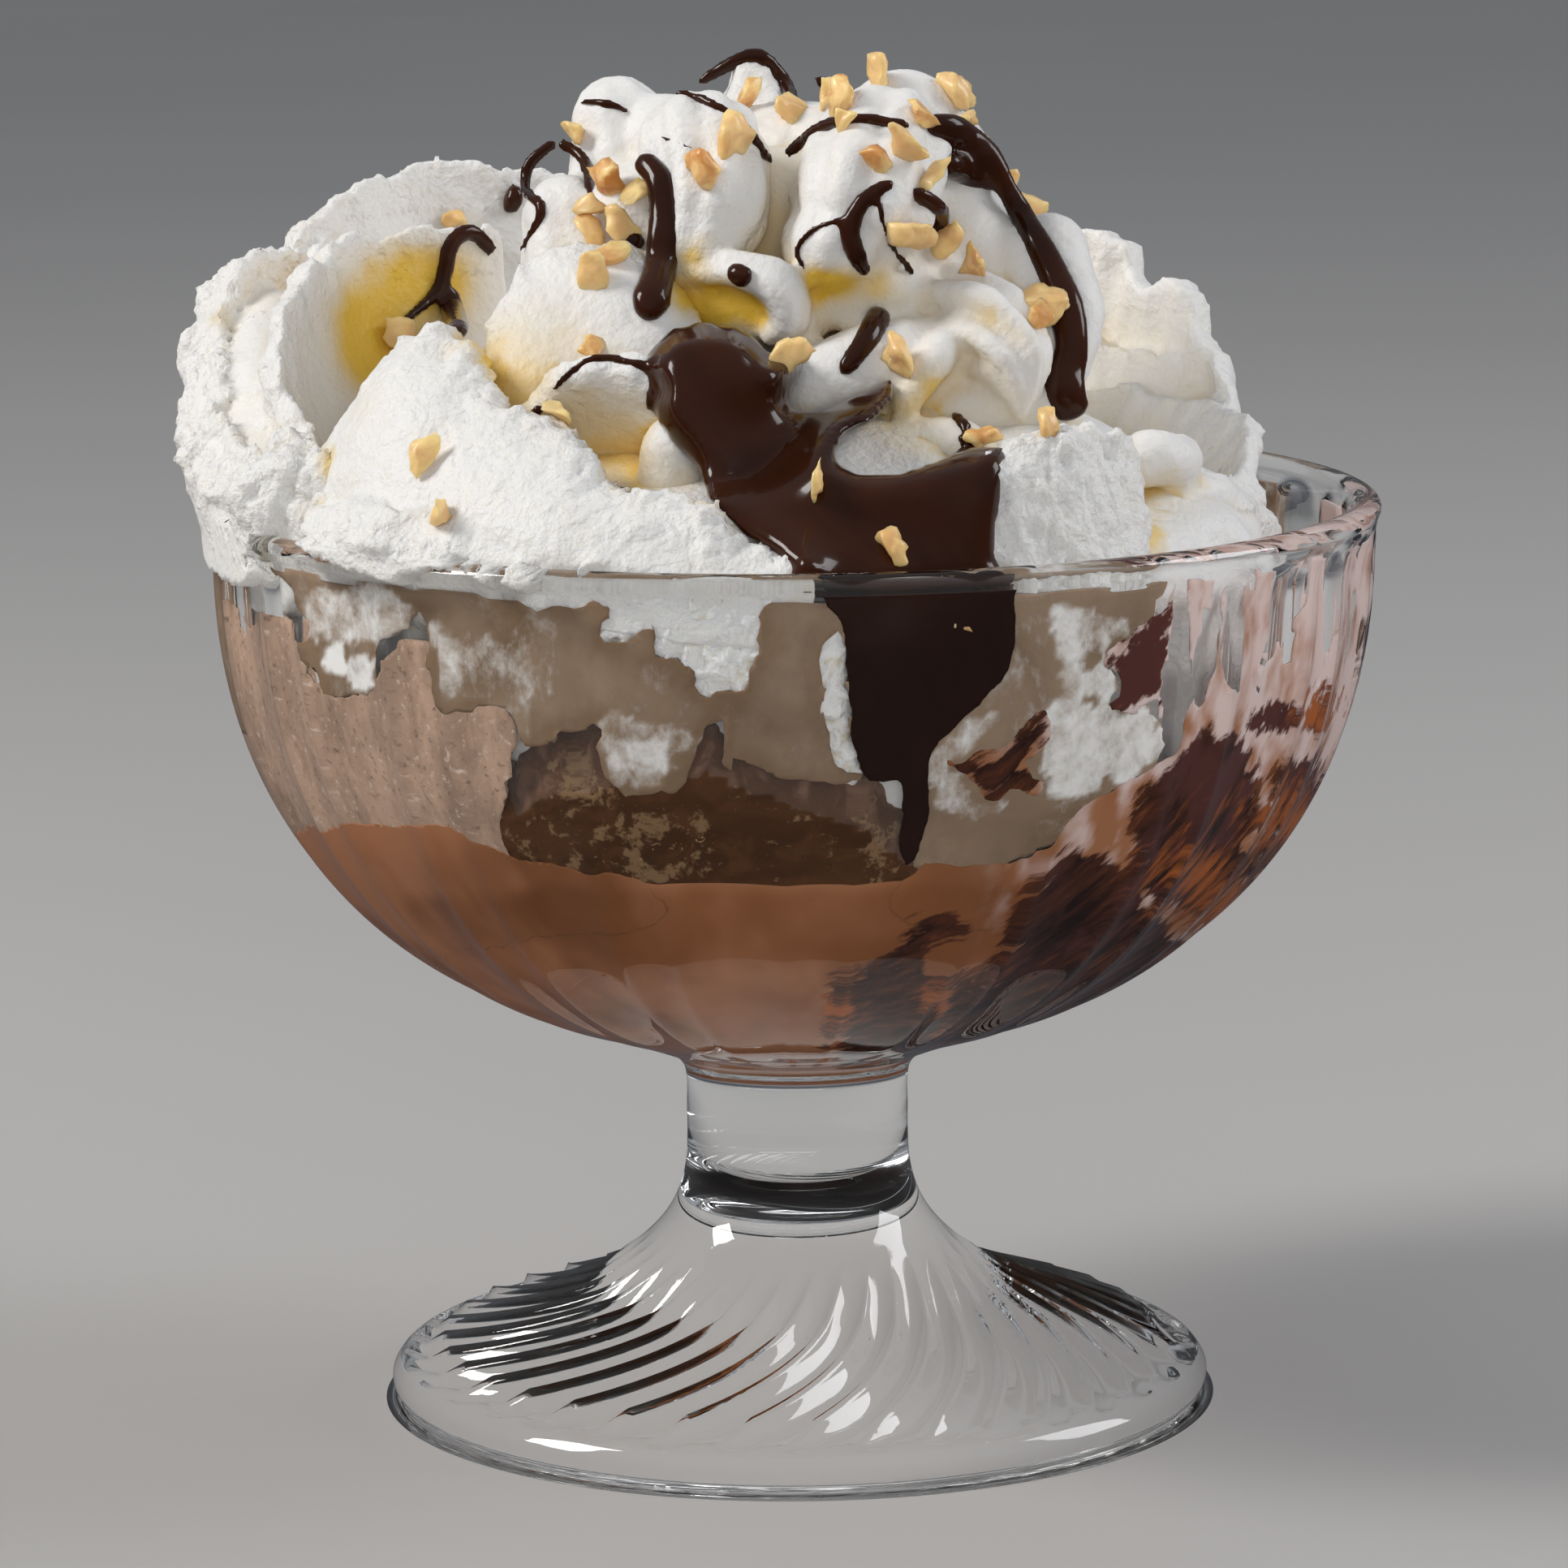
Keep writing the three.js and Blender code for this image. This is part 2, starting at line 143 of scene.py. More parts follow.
class AffogatoNuts(bpy.types.PropertyGroup):
    """The chopped nuts."""

    smallest: length("Smallest", "Half length of the smallest piece", 1.5)
    largest: length("Largest", "Half length of the largest piece", 3.4)
    seed: whole("Seed", "Which way the pieces fall", 11)
    pale: colour("Pale", "Inside of the nut", (0.80, 0.53, 0.235))
    roasted: colour("Roasted", "Roasted side of the nut", (0.60, 0.27, 0.07))


GROUPS = {
    "affogato_glass": AffogatoGlass,
    "affogato_coffee": AffogatoCoffee,
    "affogato_cream": AffogatoCream,
    "affogato_sauce": AffogatoSauce,
    "affogato_nuts": AffogatoNuts,
}


# ---- Numbers: noise, lines and meshes ----------------------------------------
def smoothstep(value, low, high):
    share = np.clip((value - low) / (high - low), 0.0, 1.0)
    return share * share * (3.0 - 2.0 * share)


def noise(points, seed=0):
    """Smooth noise between -1 and 1, one cell to a unit."""
    points = np.asarray(points, dtype=float)
    cell = np.floor(points).astype(np.int64)
    share = points - cell
    share = share * share * (3.0 - 2.0 * share)
    total = np.zeros(len(points))
    for corner in range(8):
        step = np.array([corner & 1, corner >> 1 & 1, corner >> 2 & 1])
        x, y, z = (cell + step).T
        mixed = x * 374761393 + y * 668265263 + z * 1442695041 + seed * 974634777
        mixed = (mixed ^ (mixed >> 13)) * 1274126177
        mixed = (mixed ^ (mixed >> 16)) & 0xFFFF
        weight = np.prod(np.where(step == 1, share, 1.0 - share), axis=1)
        total += weight * (mixed / 32767.5 - 1.0)
    return total


def layered_noise(points, octaves=3, seed=0):
    """Noise with finer and weaker noise on it."""
    points = np.asarray(points, dtype=float)
    return sum(noise(points * 2.03**k, seed + 17 * k) * 0.55**k for k in range(octaves))


def through(points, place):
    """A smooth line through points, at given places: place 0 is the second point. The first and the last only
    steer the line."""
    i = place.astype(int)
    w = (place - i)[:, None]
    a, b, c, d = (points[i + k] for k in range(4))
    return 0.5 * (2 * b + (c - a) * w + (2 * a - 5 * b + 4 * c - d) * w**2 + (3 * b - a - 3 * c + d) * w**3)


def smooth_line(points, places):
    """Points of a smooth line through the given ones, at places from 0 to 1."""
    points = np.asarray(points, dtype=float)
    ends = np.vstack([2 * points[0] - points[1], points, 2 * points[-1] - points[-2]])
    return through(ends, np.clip(np.asarray(places) * (len(points) - 1), 0, len(points) - 1 - 1e-9))


def polar(rows):
    """[bearing, radius, height] rows as x, y, z."""
    bearing, radius, height = np.asarray(rows, dtype=float).T
    turn = np.radians(bearing)
    return np.column_stack([radius * np.cos(turn), radius * np.sin(turn), height])


def unit(vectors):
    return vectors / np.maximum(np.linalg.norm(vectors, axis=-1, keepdims=True), 1e-9)


def grid_faces(rows, columns, first=0, closed=False):
    """Quads between the rows of a grid of vertices. A closed grid's last column joins its first."""
    across = columns if closed else columns - 1
    row, column = np.meshgrid(np.arange(rows - 1), np.arange(across), indexing="ij")
    right = (column + 1) % columns
    here, above = row * columns, (row + 1) * columns
    corners = [here + column, here + right, above + right, above + column]
    return np.stack([corner.ravel() for corner in corners], axis=1) + first


def capped_rings(rings):
    """A closed skin over rings of vertices, with a fan at each end."""
    rows, columns, _ = rings.shape
    points = np.vstack([rings.reshape(-1, 3), rings[0].mean(axis=0), rings[-1].mean(axis=0)])
    faces = grid_faces(rows, columns, closed=True).tolist()
    foot, top = rows * columns, rows * columns + 1
    last = (rows - 1) * columns
    for k in range(columns):
        after = (k + 1) % columns
        faces.append((foot, after, k))
        faces.append((top, last + k, last + after))
    return points, faces


def sheet_skin(front, back):
    """A closed skin round two like grids of vertices that face away from each other."""
    rows, columns, _ = front.shape
    count = rows * columns
    points = np.vstack([front.reshape(-1, 3), back.reshape(-1, 3)])
    faces = grid_faces(rows, columns).tolist()
    faces += [face[::-1] for face in grid_faces(rows, columns, first=count).tolist()]
    rim = list(range(columns))
    rim += [r * columns + columns - 1 for r in range(1, rows)]
    rim += [(rows - 1) * columns + c for c in range(columns - 2, -1, -1)]
    rim += [r * columns for r in range(rows - 2, 0, -1)]
    for a, b in zip(rim, rim[1:] + rim[:1]):
        faces.append((b, a, a + count, b + count))
    return points, faces


def slab_faces(cells):
    """Faces of a closed slab between two like grids of vertices, over the cells that are kept."""
    rows, columns = cells.shape[0] + 1, cells.shape[1] + 1
    quads = grid_faces(rows, columns).reshape(rows - 1, columns - 1, 4)
    count = rows * columns
    faces = quads[cells].tolist() + (quads[cells][:, ::-1] + count).tolist()
    padded = np.pad(cells, 1)
    beside = (padded[:-2, 1:-1], padded[1:-1, 2:], padded[2:, 1:-1], padded[1:-1, :-2])
    for (a, b), neighbour in zip(((0, 1), (1, 2), (2, 3), (3, 0)), beside):
        edge = quads[cells & ~neighbour]
        first, second = edge[:, a], edge[:, b]
        faces += np.stack([second, first, first + count, second + count], axis=1).tolist()
    return faces


def joined_skins(skins):
    """The points and faces of several skins as one."""
    points = np.vstack([skin[0] for skin in skins])
    faces, first = [], 0
    for skin in skins:
        faces += [[first + vertex for vertex in face] for face in skin[1]]
        first += len(skin[0])
    return points, faces


def turned(profile, bearings):
    """Rings of a turned shape: its [radius, height] profile at bearings in radians, alike or row by row."""
    radius, height = np.asarray(profile, dtype=float).T
    around = np.broadcast_to(bearings, (len(radius), np.shape(bearings)[-1]))
    radius, height = radius[:, None], height[:, None]
    return np.stack([radius * np.cos(around), radius * np.sin(around), height + 0 * around], axis=2)


def new_mesh(name, points, faces):
    """A mesh from points in design millimetres."""
    mesh = bpy.data.meshes.new(name)
    mesh.from_pydata((np.asarray(points) * MM).tolist(), [], [tuple(face) for face in faces])
    mesh.update()
    return mesh


def mesh_points(mesh, what="co"):
    values = np.empty(len(mesh.vertices) * 3)
    mesh.vertices.foreach_get(what, values)
    return values.reshape(-1, 3)


def set_points(mesh, points):
    mesh.vertices.foreach_set("co", np.asarray(points).ravel())
    mesh.update()


def turn_outwards(mesh):
    skin = bmesh.new()
    skin.from_mesh(mesh)
    bmesh.ops.remove_doubles(skin, verts=skin.verts, dist=1e-6)
    bmesh.ops.recalc_face_normals(skin, faces=skin.faces)
    skin.to_mesh(mesh)
    skin.free()
    mesh.update()


def drop_loose(mesh, outwards=False):
    """Takes away vertices that have no face, and turns the faces outwards if asked."""
    skin = bmesh.new()
    skin.from_mesh(mesh)
    bmesh.ops.delete(skin, geom=[v for v in skin.verts if not v.link_faces], context="VERTS")
    if outwards:
        bmesh.ops.recalc_face_normals(skin, faces=skin.faces)
    skin.to_mesh(mesh)
    skin.free()
    mesh.update()


def add_piece(name, mesh, look, replaced=()):
    """Puts a finished mesh in the scene as a piece of the object."""
    mesh.materials.clear()
    mesh.materials.append(look)
    mesh.shade_smooth()
    piece = bpy.data.objects.new(name, mesh)
    mesh.name = name
    bpy.context.scene.collection.objects.link(piece)
    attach(piece, "root")
    if replaced:
        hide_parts(*replaced)
    return piece


def remeshed(mesh, grain):
    """One closed skin round everything in a mesh, on a grid of the given size in metres."""
    holder = bpy.data.objects.new("remesh", mesh)
    bpy.context.scene.collection.objects.link(holder)
    change = holder.modifiers.new("Remesh", "REMESH")
    change.mode = "VOXEL"
    change.voxel_size = grain
    seen = holder.evaluated_get(bpy.context.evaluated_depsgraph_get())
    done = bpy.data.meshes.new_from_object(seen)
    bpy.data.objects.remove(holder)
    bpy.data.meshes.remove(mesh)
    return done


def relaxed(mesh, times, share=0.5):
    """Moves each vertex towards the middle of its neighbours."""
    edges = np.empty(len(mesh.edges) * 2, dtype=int)
    mesh.edges.foreach_get("vertices", edges)
    a, b = edges.reshape(-1, 2).T
    count = np.bincount(a, minlength=len(mesh.vertices)) + np.bincount(b, minlength=len(mesh.vertices))
    points = mesh_points(mesh)
    for _ in range(times):
        middle = np.stack(
            [
                np.bincount(a, points[b, axis], len(points)) + np.bincount(b, points[a, axis], len(points))
                for axis in range(3)
            ],
            axis=1,
        )
        points += share * (middle / np.maximum(count, 1)[:, None] - points)
    set_points(mesh, points)


def add_field(mesh, name, values):
    field = mesh.attributes.new(name, "FLOAT", "POINT")
    field.data.foreach_set("value", np.asarray(values, dtype=float))


def tree_of(meshes):
    """One search tree over several meshes, in design millimetres."""
    points, faces, first = [], [], 0
    for mesh in meshes:
        points.append(mesh_points(mesh) / MM)
        for polygon in mesh.polygons:
            faces.append([first + vertex for vertex in polygon.vertices])
        first += len(mesh.vertices)
    return BVHTree.FromPolygons(np.vstack(points).tolist(), faces)


# ---- Looks -------------------------------------------------------------------
def link(tree, source, target):
    tree.links.new(source, target)


def give(tree, socket, value):
    """Sets an input to a value, or links a socket to it."""
    if isinstance(value, bpy.types.NodeSocket):
        link(tree, value, socket)
    else:
        socket.default_value = value


def add_node(tree, kind, **inputs):
    """A new node. Its inputs are named with underscores for spaces."""
    node = tree.nodes.new(kind)
    for label, value in inputs.items():
        give(tree, node.inputs[label.replace("_", " ")], value)
    return node


def worked_out(tree, operation, *values, kind="ShaderNodeMath"):
    """The result of a sum on values, each given as a number or as a socket."""
    node = tree.nodes.new(kind)
    node.operation = operation
    for socket, value in zip(node.inputs, values):
        give(tree, socket, value)
    return node.outputs[0]


def new_group(name, inputs, outputs):
    group = bpy.data.node_groups.new(name, "ShaderNodeTree")
    for label, default in inputs.items():
        socket = group.interface.new_socket(name=label, in_out="INPUT", socket_type="NodeSocketFloat")
        socket.default_value = default
    for label in outputs:
        group.interface.new_socket(name=label, in_out="OUTPUT", socket_type="NodeSocketFloat")
    return group, group.nodes.new("NodeGroupInput"), group.nodes.new("NodeGroupOutput")


def grain_group():
    """Soft mottling: a mask for colour and a height for relief, both from noise in the piece's own space."""
    if "Soft grain" in bpy.data.node_groups:
        return bpy.data.node_groups["Soft grain"]
    sizes = {"Patch Scale": 60.0, "Grain Scale": 900.0, "Edge": 0.5, "Softness": 0.25}
    group, given, result = new_group("Soft grain", sizes, ("Mask", "Height"))
    place = add_node(group, "ShaderNodeTexCoord").outputs["Object"]
    wide, small, edge, soft = (given.outputs[label] for label in sizes)
    patches = add_node(group, "ShaderNodeTexNoise", Vector=place, Scale=wide, Detail=5.0, Distortion=0.6)
    fine = add_node(group, "ShaderNodeTexNoise", Vector=place, Scale=small, Detail=3.0)
    low, high = worked_out(group, "SUBTRACT", edge, soft), worked_out(group, "ADD", edge, soft)
    link(group, stepped(group, patches.outputs["Fac"], low, high), result.inputs["Mask"])
    link(group, fine.outputs["Fac"], result.inputs["Height"])
    return group


def new_look(name, base, roughness, **sockets):
    """A material with one Principled shader. Sockets are named with underscores for spaces."""
    look = bpy.data.materials.new(name)
    look.use_nodes = True
    shader = look.node_tree.nodes["Principled BSDF"]
    shader.inputs["Base Color"].default_value = (*base, 1.0)
    shader.inputs["Roughness"].default_value = roughness
    for label, value in sockets.items():
        shader.inputs[label.replace("_", " ")].default_value = value
    look.diffuse_color = (*base, 1.0)
    return look, look.node_tree, shader


def toned(base, gain, more=0.0):
    """A colour made lighter or darker, as far as white."""
    return tuple(min(1.0, gain * channel + more) for channel in base)


def add_grain(tree, **values):
    node = tree.nodes.new("ShaderNodeGroup")
    node.node_tree = grain_group()
    for label, value in values.items():
        node.inputs[label.replace("_", " ")].default_value = value
    return node


def mix_colours(tree, share, first, second):
    """A colour between two, each given as a socket or as three numbers."""
    node = tree.nodes.new("ShaderNodeMix")
    node.data_type = "RGBA"
    link(tree, share, node.inputs["Factor"])
    for side, value in (("A", first), ("B", second)):
        socket = next(s for s in node.inputs if s.name == side and s.type == "RGBA")
        give(tree, socket, value if isinstance(value, bpy.types.NodeSocket) else (*value, 1.0))
    return next(s for s in node.outputs if s.type == "RGBA")


def add_relief(tree, shader, height, strength, distance):
    bump = add_node(tree, "ShaderNodeBump", Height=height, Strength=strength, Distance=distance * MM)
    link(tree, bump.outputs["Normal"], shader.inputs["Normal"])


def field_value(tree, name):
    node = tree.nodes.new("ShaderNodeAttribute")
    node.attribute_name = name
    return node.outputs["Fac"]


def stepped(tree, value, low, high):
    """A share that climbs smoothly from 0 at a low value to 1 at a high one."""
    node = add_node(tree, "ShaderNodeMapRange", Value=value, From_Min=low, From_Max=high)
    node.interpolation_type = "SMOOTHSTEP"
    return node.outputs["Result"]


LET_THROUGH = 0.92  # share of a lamp's light that passes the glass unbent


def glass_look(settings):
    """Clear glass that lets lamps through to what stands in it."""
    look, tree, shader = new_look(
        "Pressed glass", settings.tint, 0.015, IOR=1.5, Transmission_Weight=1.0, Specular_IOR_Level=0.5
    )
    ray = add_node(tree, "ShaderNodeLightPath").outputs
    soft = worked_out(tree, "MAXIMUM", ray["Is Shadow Ray"], ray["Is Diffuse Ray"])
    link(tree, worked_out(tree, "MULTIPLY_ADD", soft, -LET_THROUGH, 1.0), shader.inputs["Alpha"])
    return look


def food_look(name, light, dark, roughness, grain, relief=(0.3, 0.3), **sockets):
    """A food with soft patches of two colours and fine relief."""
    look, tree, shader = new_look(name, light, roughness, **sockets)
    node = add_grain(tree, **grain)
    link(tree, mix_colours(tree, node.outputs["Mask"], light, dark), shader.inputs["Base Color"])
    add_relief(tree, shader, node.outputs["Height"], *relief)
    return look


def fine_noise(tree, scale, detail=6.0, stretch=1.0, slope=0.0):
    """Noise in the piece's own space, drawn out along a line that climbs to the right at a slope."""
    drawn = tree.nodes.new("ShaderNodeMapping")
    drawn.vector_type = "TEXTURE"
    drawn.inputs["Rotation"].default_value = (0.0, -slope, 0.0)
    drawn.inputs["Scale"].default_value = (stretch, 1.0, 1.0)
    link(tree, add_node(tree, "ShaderNodeTexCoord").outputs["Object"], drawn.inputs["Vector"])
    place = drawn.outputs["Vector"]
    texture = add_node(tree, "ShaderNodeTexNoise", Vector=place, Scale=scale, Detail=detail, Roughness=0.65)
    return texture.outputs["Fac"]


def shifted(tree, value, texture, much):
    """A value, shifted up by some of a texture."""
    return worked_out(tree, "MULTIPLY_ADD", texture, much, value)


def cream_look(settings, name="Whipped cream", gain=1.0):
    """Whipped cream: white in the open, with painted warm shade in its folds and a painted yellow glow at
    their bottom, and grainy where torn. gain paints the whole look lighter, as painted light.
    """
    if name in bpy.data.materials:
        return bpy.data.materials[name]
    light = toned(settings.light, gain)
    look, tree, shader = new_look(
        name, light, 0.5, Subsurface_Weight=0.22, Subsurface_Scale=0.0012, IOR=1.38
    )
    shader.inputs["Subsurface Radius"].default_value = (1.0, 0.8, 0.5)
    closed = field_value(tree, "painted_fold_shade")
    # painted shade: warm where the cream closes in, then a painted yellow glow at the bottom of the folds
    warm = mix_colours(tree, stepped(tree, closed, 0.12, 0.6), light, settings.shade)
    deep = mix_colours(tree, stepped(tree, closed, 0.42, 0.8), warm, settings.deep)
    node = add_grain(tree, Patch_Scale=220.0, Grain_Scale=1300.0, Edge=0.62, Softness=0.16)
    patchy = worked_out(tree, "MULTIPLY", node.outputs["Mask"], 0.12)
    link(tree, mix_colours(tree, patchy, deep, settings.shade), shader.inputs["Base Color"])
    grain = worked_out(tree, "MULTIPLY", node.outputs["Height"], field_value(tree, "torn"))
    add_relief(tree, shader, grain, 0.9, 0.55)
    return look


def sauce_look(settings):
    """Dark glossy chocolate sauce."""
    return food_look(
        "Chocolate sauce", settings.sauce, toned(settings.sauce, 0.55), 0.16,
        dict(Patch_Scale=90.0, Grain_Scale=300.0, Edge=0.5, Softness=0.2), relief=(0.05, 0.1),
        Coat_Weight=0.2, Coat_Roughness=0.05, Specular_IOR_Level=0.16, IOR=1.45,
    )


# ---- The glass ---------------------------------------------------------------
BROW = 82.2  # height at which the bowl's side stands upright
BOWL_RADIUS = 54.5
BOWL_DEPTH = 48.2
BOWL_POWER = 2.24
SIDE_WALL = 2.7
POLE_WALL = 5.0
INNER_RADIUS = BOWL_RADIUS - SIDE_WALL
INNER_DEPTH = BOWL_DEPTH - POLE_WALL
FLUTE_TOP = 80.5
FLUTE_ARCH = 3.5
FLUTE_TURN = 2.35  # bearing of the first wide flute, in degrees
STEM_RADIUS = 10.5
THUMB_SIZE = (2.5, 1.7)  # half length and half width of the small dents inside the foot's edge
THUMB_DEPTH = 0.55
SWIRL_TURN = 44.0  # how far a ridge on the foot turns on its way out, in degrees


def bowl_section(radius, depth, turns):
    """[radius, height] of the bowl's section, at turns from 0 at its pole to a quarter circle at its brow."""
    power = 2.0 / BOWL_POWER
    return np.column_stack([radius * np.sin(turns) ** power, BROW - depth * np.cos(turns).clip(0) ** power])


def inner_radius(height):
    """Radius of the glass's inner wall at a height."""
    share = np.clip((BROW - np.asarray(height, dtype=float)) / INNER_DEPTH, 0.0, 1.0)
    return INNER_RADIUS * (1.0 - share**BOWL_POWER) ** (1.0 / BOWL_POWER)


def flute(angle, height, half, depth):
    """Depth of a flute with a rounded top, at an angle in degrees from its middle."""
    across = angle / half
    above = np.maximum(0.0, height - FLUTE_TOP) / FLUTE_ARCH
    return depth * np.maximum(0.0, 1.0 - across**2 - above**2)


def glass_mesh(settings):
    flutes = settings.flutes
    flute_depth = settings.flute_depth / MM
    swirl_depth = settings.swirl_depth / MM
    foot_radius = settings.foot_radius / MM
    bearings = np.linspace(0, 2 * math.pi, 24 * flutes, endpoint=False)
    foot = [
        [0.4, 0], [36.5, 0], [foot_radius - 1.1, 0.25], [foot_radius - 0.25, 1.2], [foot_radius, 2.3],
        [foot_radius - 0.35, 3.2], [foot_radius - 1.4, 4.1], [34, 5.2], [28.5, 7], [24, 8.6], [19.8, 10.4],
    ]
    stem = [
        [17.3, 12.5], [14.8, 14.8], [12.7, 17.2], [11.4, 19.6], [10.7, 22.2], [STEM_RADIUS, 25],
        [STEM_RADIUS, 28], [STEM_RADIUS, 30.6], [10.9, 32.2], [12.2, 33.4], [15, 34.6], [18.3, 35.8],
    ]
    stand = smooth_line(foot + stem, np.linspace(0, 1, 98))
    fillet = bowl_section(BOWL_RADIUS, BOWL_DEPTH, np.radians(np.linspace(21, 90, 50)))
    lip = [[BOWL_RADIUS, 83.2], [54.7, 84.3], [55, 85.2], [54.6, 86.0], [53.6, GLASS_HEIGHT]]
    lip = smooth_line(lip + [[52.7, 86.1], [52.1, 85.2]], np.linspace(0, 1, 18))
    inside = bowl_section(INNER_RADIUS, INNER_DEPTH, np.radians(np.linspace(89.9, 0.6, 36)))
    profile = np.vstack([stand, fillet, lip, inside])
    out = np.clip((profile[:, 0] - 12) / (foot_radius - 1.4 - 12), 0, 1)
    out = np.where(profile[:, 1] < 2.6, 1.0, np.where(profile[:, 1] < 20, out, 0.0))
    swirled = bearings[None, :] - np.radians(SWIRL_TURN) * out[:, None]
    rings = turned(profile, swirled)
    first_inside = len(profile) - len(inside) - 7
    outside = np.arange(len(profile)) < first_inside
    radius, height = profile[:, 0:1], profile[:, 1:2]
    pitch = 360.0 / flutes
    angle = (np.degrees(bearings)[None, :] - FLUTE_TURN + pitch / 2) % pitch - pitch / 2
    fade = smoothstep(height, 34.5, 42.0)
    wide = flute(angle, height, 6.6, flute_depth)
    narrow = flute(pitch / 2 - abs(angle), height, 3.6, flute_depth * 0.6)
    cut = np.where(outside[:, None] & (height > 33), fade * (wide + narrow), 0.0)
    inset = 1.0 - cut / np.maximum(radius, 1.0)
    rings[:, :, :2] *= inset[:, :, None]
    on_foot = outside & (profile[:, 1] > 2.6) & (profile[:, 1] < 20)
    at_edge = smoothstep(foot_radius - profile[:, 0], 1.6, 5)
    band = np.where(on_foot, smoothstep(profile[:, 0], 13.5, 22) * at_edge, 0.0)
    wave = 1.0 - 2.0 * abs(np.sin(flutes * bearings)) ** 0.8
    rings[:, :, 2] += swirl_depth * band[:, None] * wave
    beside = (np.degrees(swirled) + 90.0 / flutes) % (180.0 / flutes) - 90.0 / flutes
    beside = np.radians(beside) * radius
    thumbs = 1.0 - (beside / THUMB_SIZE[0]) ** 2 - ((radius - foot_radius + 3.0) / THUMB_SIZE[1]) ** 2
    rings[:, :, 2] -= np.where(on_foot[:, None], THUMB_DEPTH * np.maximum(0.0, thumbs) ** 0.7, 0.0)
    points, faces = capped_rings(rings)
    return new_mesh("glass", points, faces)


class AFFOGATO_OT_glass(bpy.types.Operator):
    """Make the pressed glass: bowl with flutes, stem, and foot with a swirl"""

    bl_idname = "affogato.glass"
    bl_label = "Glass"

    def execute(self, context):
        settings = context.scene.affogato_glass
        mesh = glass_mesh(settings)
        turn_outwards(mesh)
        add_piece("glass_coupe", mesh, glass_look(settings), ["glass"])
        return {"FINISHED"}


# ---- What fills the glass ----------------------------------------------------
COFFEE_REACH = 0.07  # how far the coffee's skin reaches into the glass, so that no air shows between them
MENISCUS = 0.5  # how far the coffee climbs the glass
LOOP_STEPS = 6  # short straight lines between two corners of an outline


def front_place(points):
    """Where points are seen from the front, on the upright plane through the glass's axis."""
    share = EYE.y / (EYE.y - points[:, 1])
    return EYE.x + share * (points[:, 0] - EYE.x), EYE.z + share * (points[:, 2] - EYE.z)


def inside_loop(x, z, corners):
    """How far inside a smooth closed outline each place is, in design millimetres: below 0 outside."""
    corners = np.asarray(corners, dtype=float)
    wrapped = np.vstack([corners[-1:], corners, corners[:2]])
    loop = through(wrapped, np.arange(len(corners) * LOOP_STEPS) / LOOP_STEPS)
    nearest = np.full(len(x), 1e9)
    within = np.zeros(len(x), dtype=bool)
    for (ax, az), (bx, bz) in zip(loop, np.roll(loop, -1, axis=0)):
        long_x, long_z = bx - ax, bz - az
        share = np.clip(((x - ax) * long_x + (z - az) * long_z) / (long_x**2 + long_z**2 + 1e-9), 0, 1)
        nearest = np.minimum(nearest, np.hypot(x - ax - share * long_x, z - az - share * long_z))
        within ^= ((az > z) != (bz > z)) & (x < long_x * (z - az) / (long_z + 1e-12) + ax)
    return np.where(within, nearest, -nearest)


def inner_section(heights, step):
    """[radius, height] rows of the glass's inner wall between two heights, about a step apart."""
    share = np.clip((BROW - np.minimum(heights, BROW)) / INNER_DEPTH, 0.0, 1.0)
    turns = np.arccos(share ** (BOWL_POWER / 2.0))
    rows = int((turns[1] - turns[0]) * 47 / step) + 6
    section = bowl_section(INNER_RADIUS, INNER_DEPTH, np.linspace(*turns, rows))
    above = np.arange(BROW + step, heights[1], step)
    return np.vstack([section, np.column_stack([INNER_RADIUS + 0.04 * (above - BROW), above])])


def wall_layer(cover, bearings, heights, reach, depth=1.0, stand_off=None, step=0.6, shell=0.08):
    """A layer on the inside of the glass, between two bearings in degrees and two heights. cover(points) is
    how far each point is inside the layer, and reach how far the layer reaches into the glass, so that no air
    shows between them. stand_off(points) is how far its outer face stands back from there."""
    section = inner_section(heights, step)
    rows = len(section)
    around = np.radians(np.linspace(*bearings, int(math.radians(bearings[1] - bearings[0]) * 50 / step) + 2))
    columns = len(around)
    covered = cover(turned(section, around).reshape(-1, 3)).reshape(rows, columns)
    live = covered > 0
    cells = live[:-1, :-1] | live[1:, :-1] | live[:-1, 1:] | live[1:, 1:]
    steep_row, steep_column = np.gradient(covered)
    steep = steep_row**2 + steep_column**2 + 1e-6
    pull = np.where(live, 0.0, -covered / steep)
    row, column = np.meshgrid(np.arange(rows), np.arange(columns), indexing="ij")
    row = np.clip(row + np.clip(pull * steep_row, -1, 1), 0, rows - 1)
    column = np.clip(column + np.clip(pull * steep_column, -1, 1), 0, columns - 1)
    radius = np.interp(row, np.arange(rows), section[:, 0])
    height = np.interp(row, np.arange(rows), section[:, 1])
    slope = unit(np.gradient(section, axis=0))
    turn = np.interp(column, np.arange(columns), around)
    out = np.interp(row, np.arange(rows), slope[:, 1])
    down = -np.interp(row, np.arange(rows), slope[:, 0])
    wall = np.stack([radius * np.cos(turn), radius * np.sin(turn), height], axis=2)
    normal = np.stack([out * np.cos(turn), out * np.sin(turn), down], axis=2)
    back = np.full((rows, columns), reach)
    if stand_off is not None:
        back = reach - stand_off(wall.reshape(-1, 3)).reshape(rows, columns)
    edge = np.clip(covered / 0.9, 0.0, 1.0) ** 0.5
    outer = wall + normal * back[:, :, None]
    inner = outer - normal * (shell + depth * edge)[:, :, None]
    mesh = new_mesh("layer", np.vstack([outer.reshape(-1, 3), inner.reshape(-1, 3)]), slab_faces(cells))
    drop_loose(mesh, outwards=True)
    return mesh


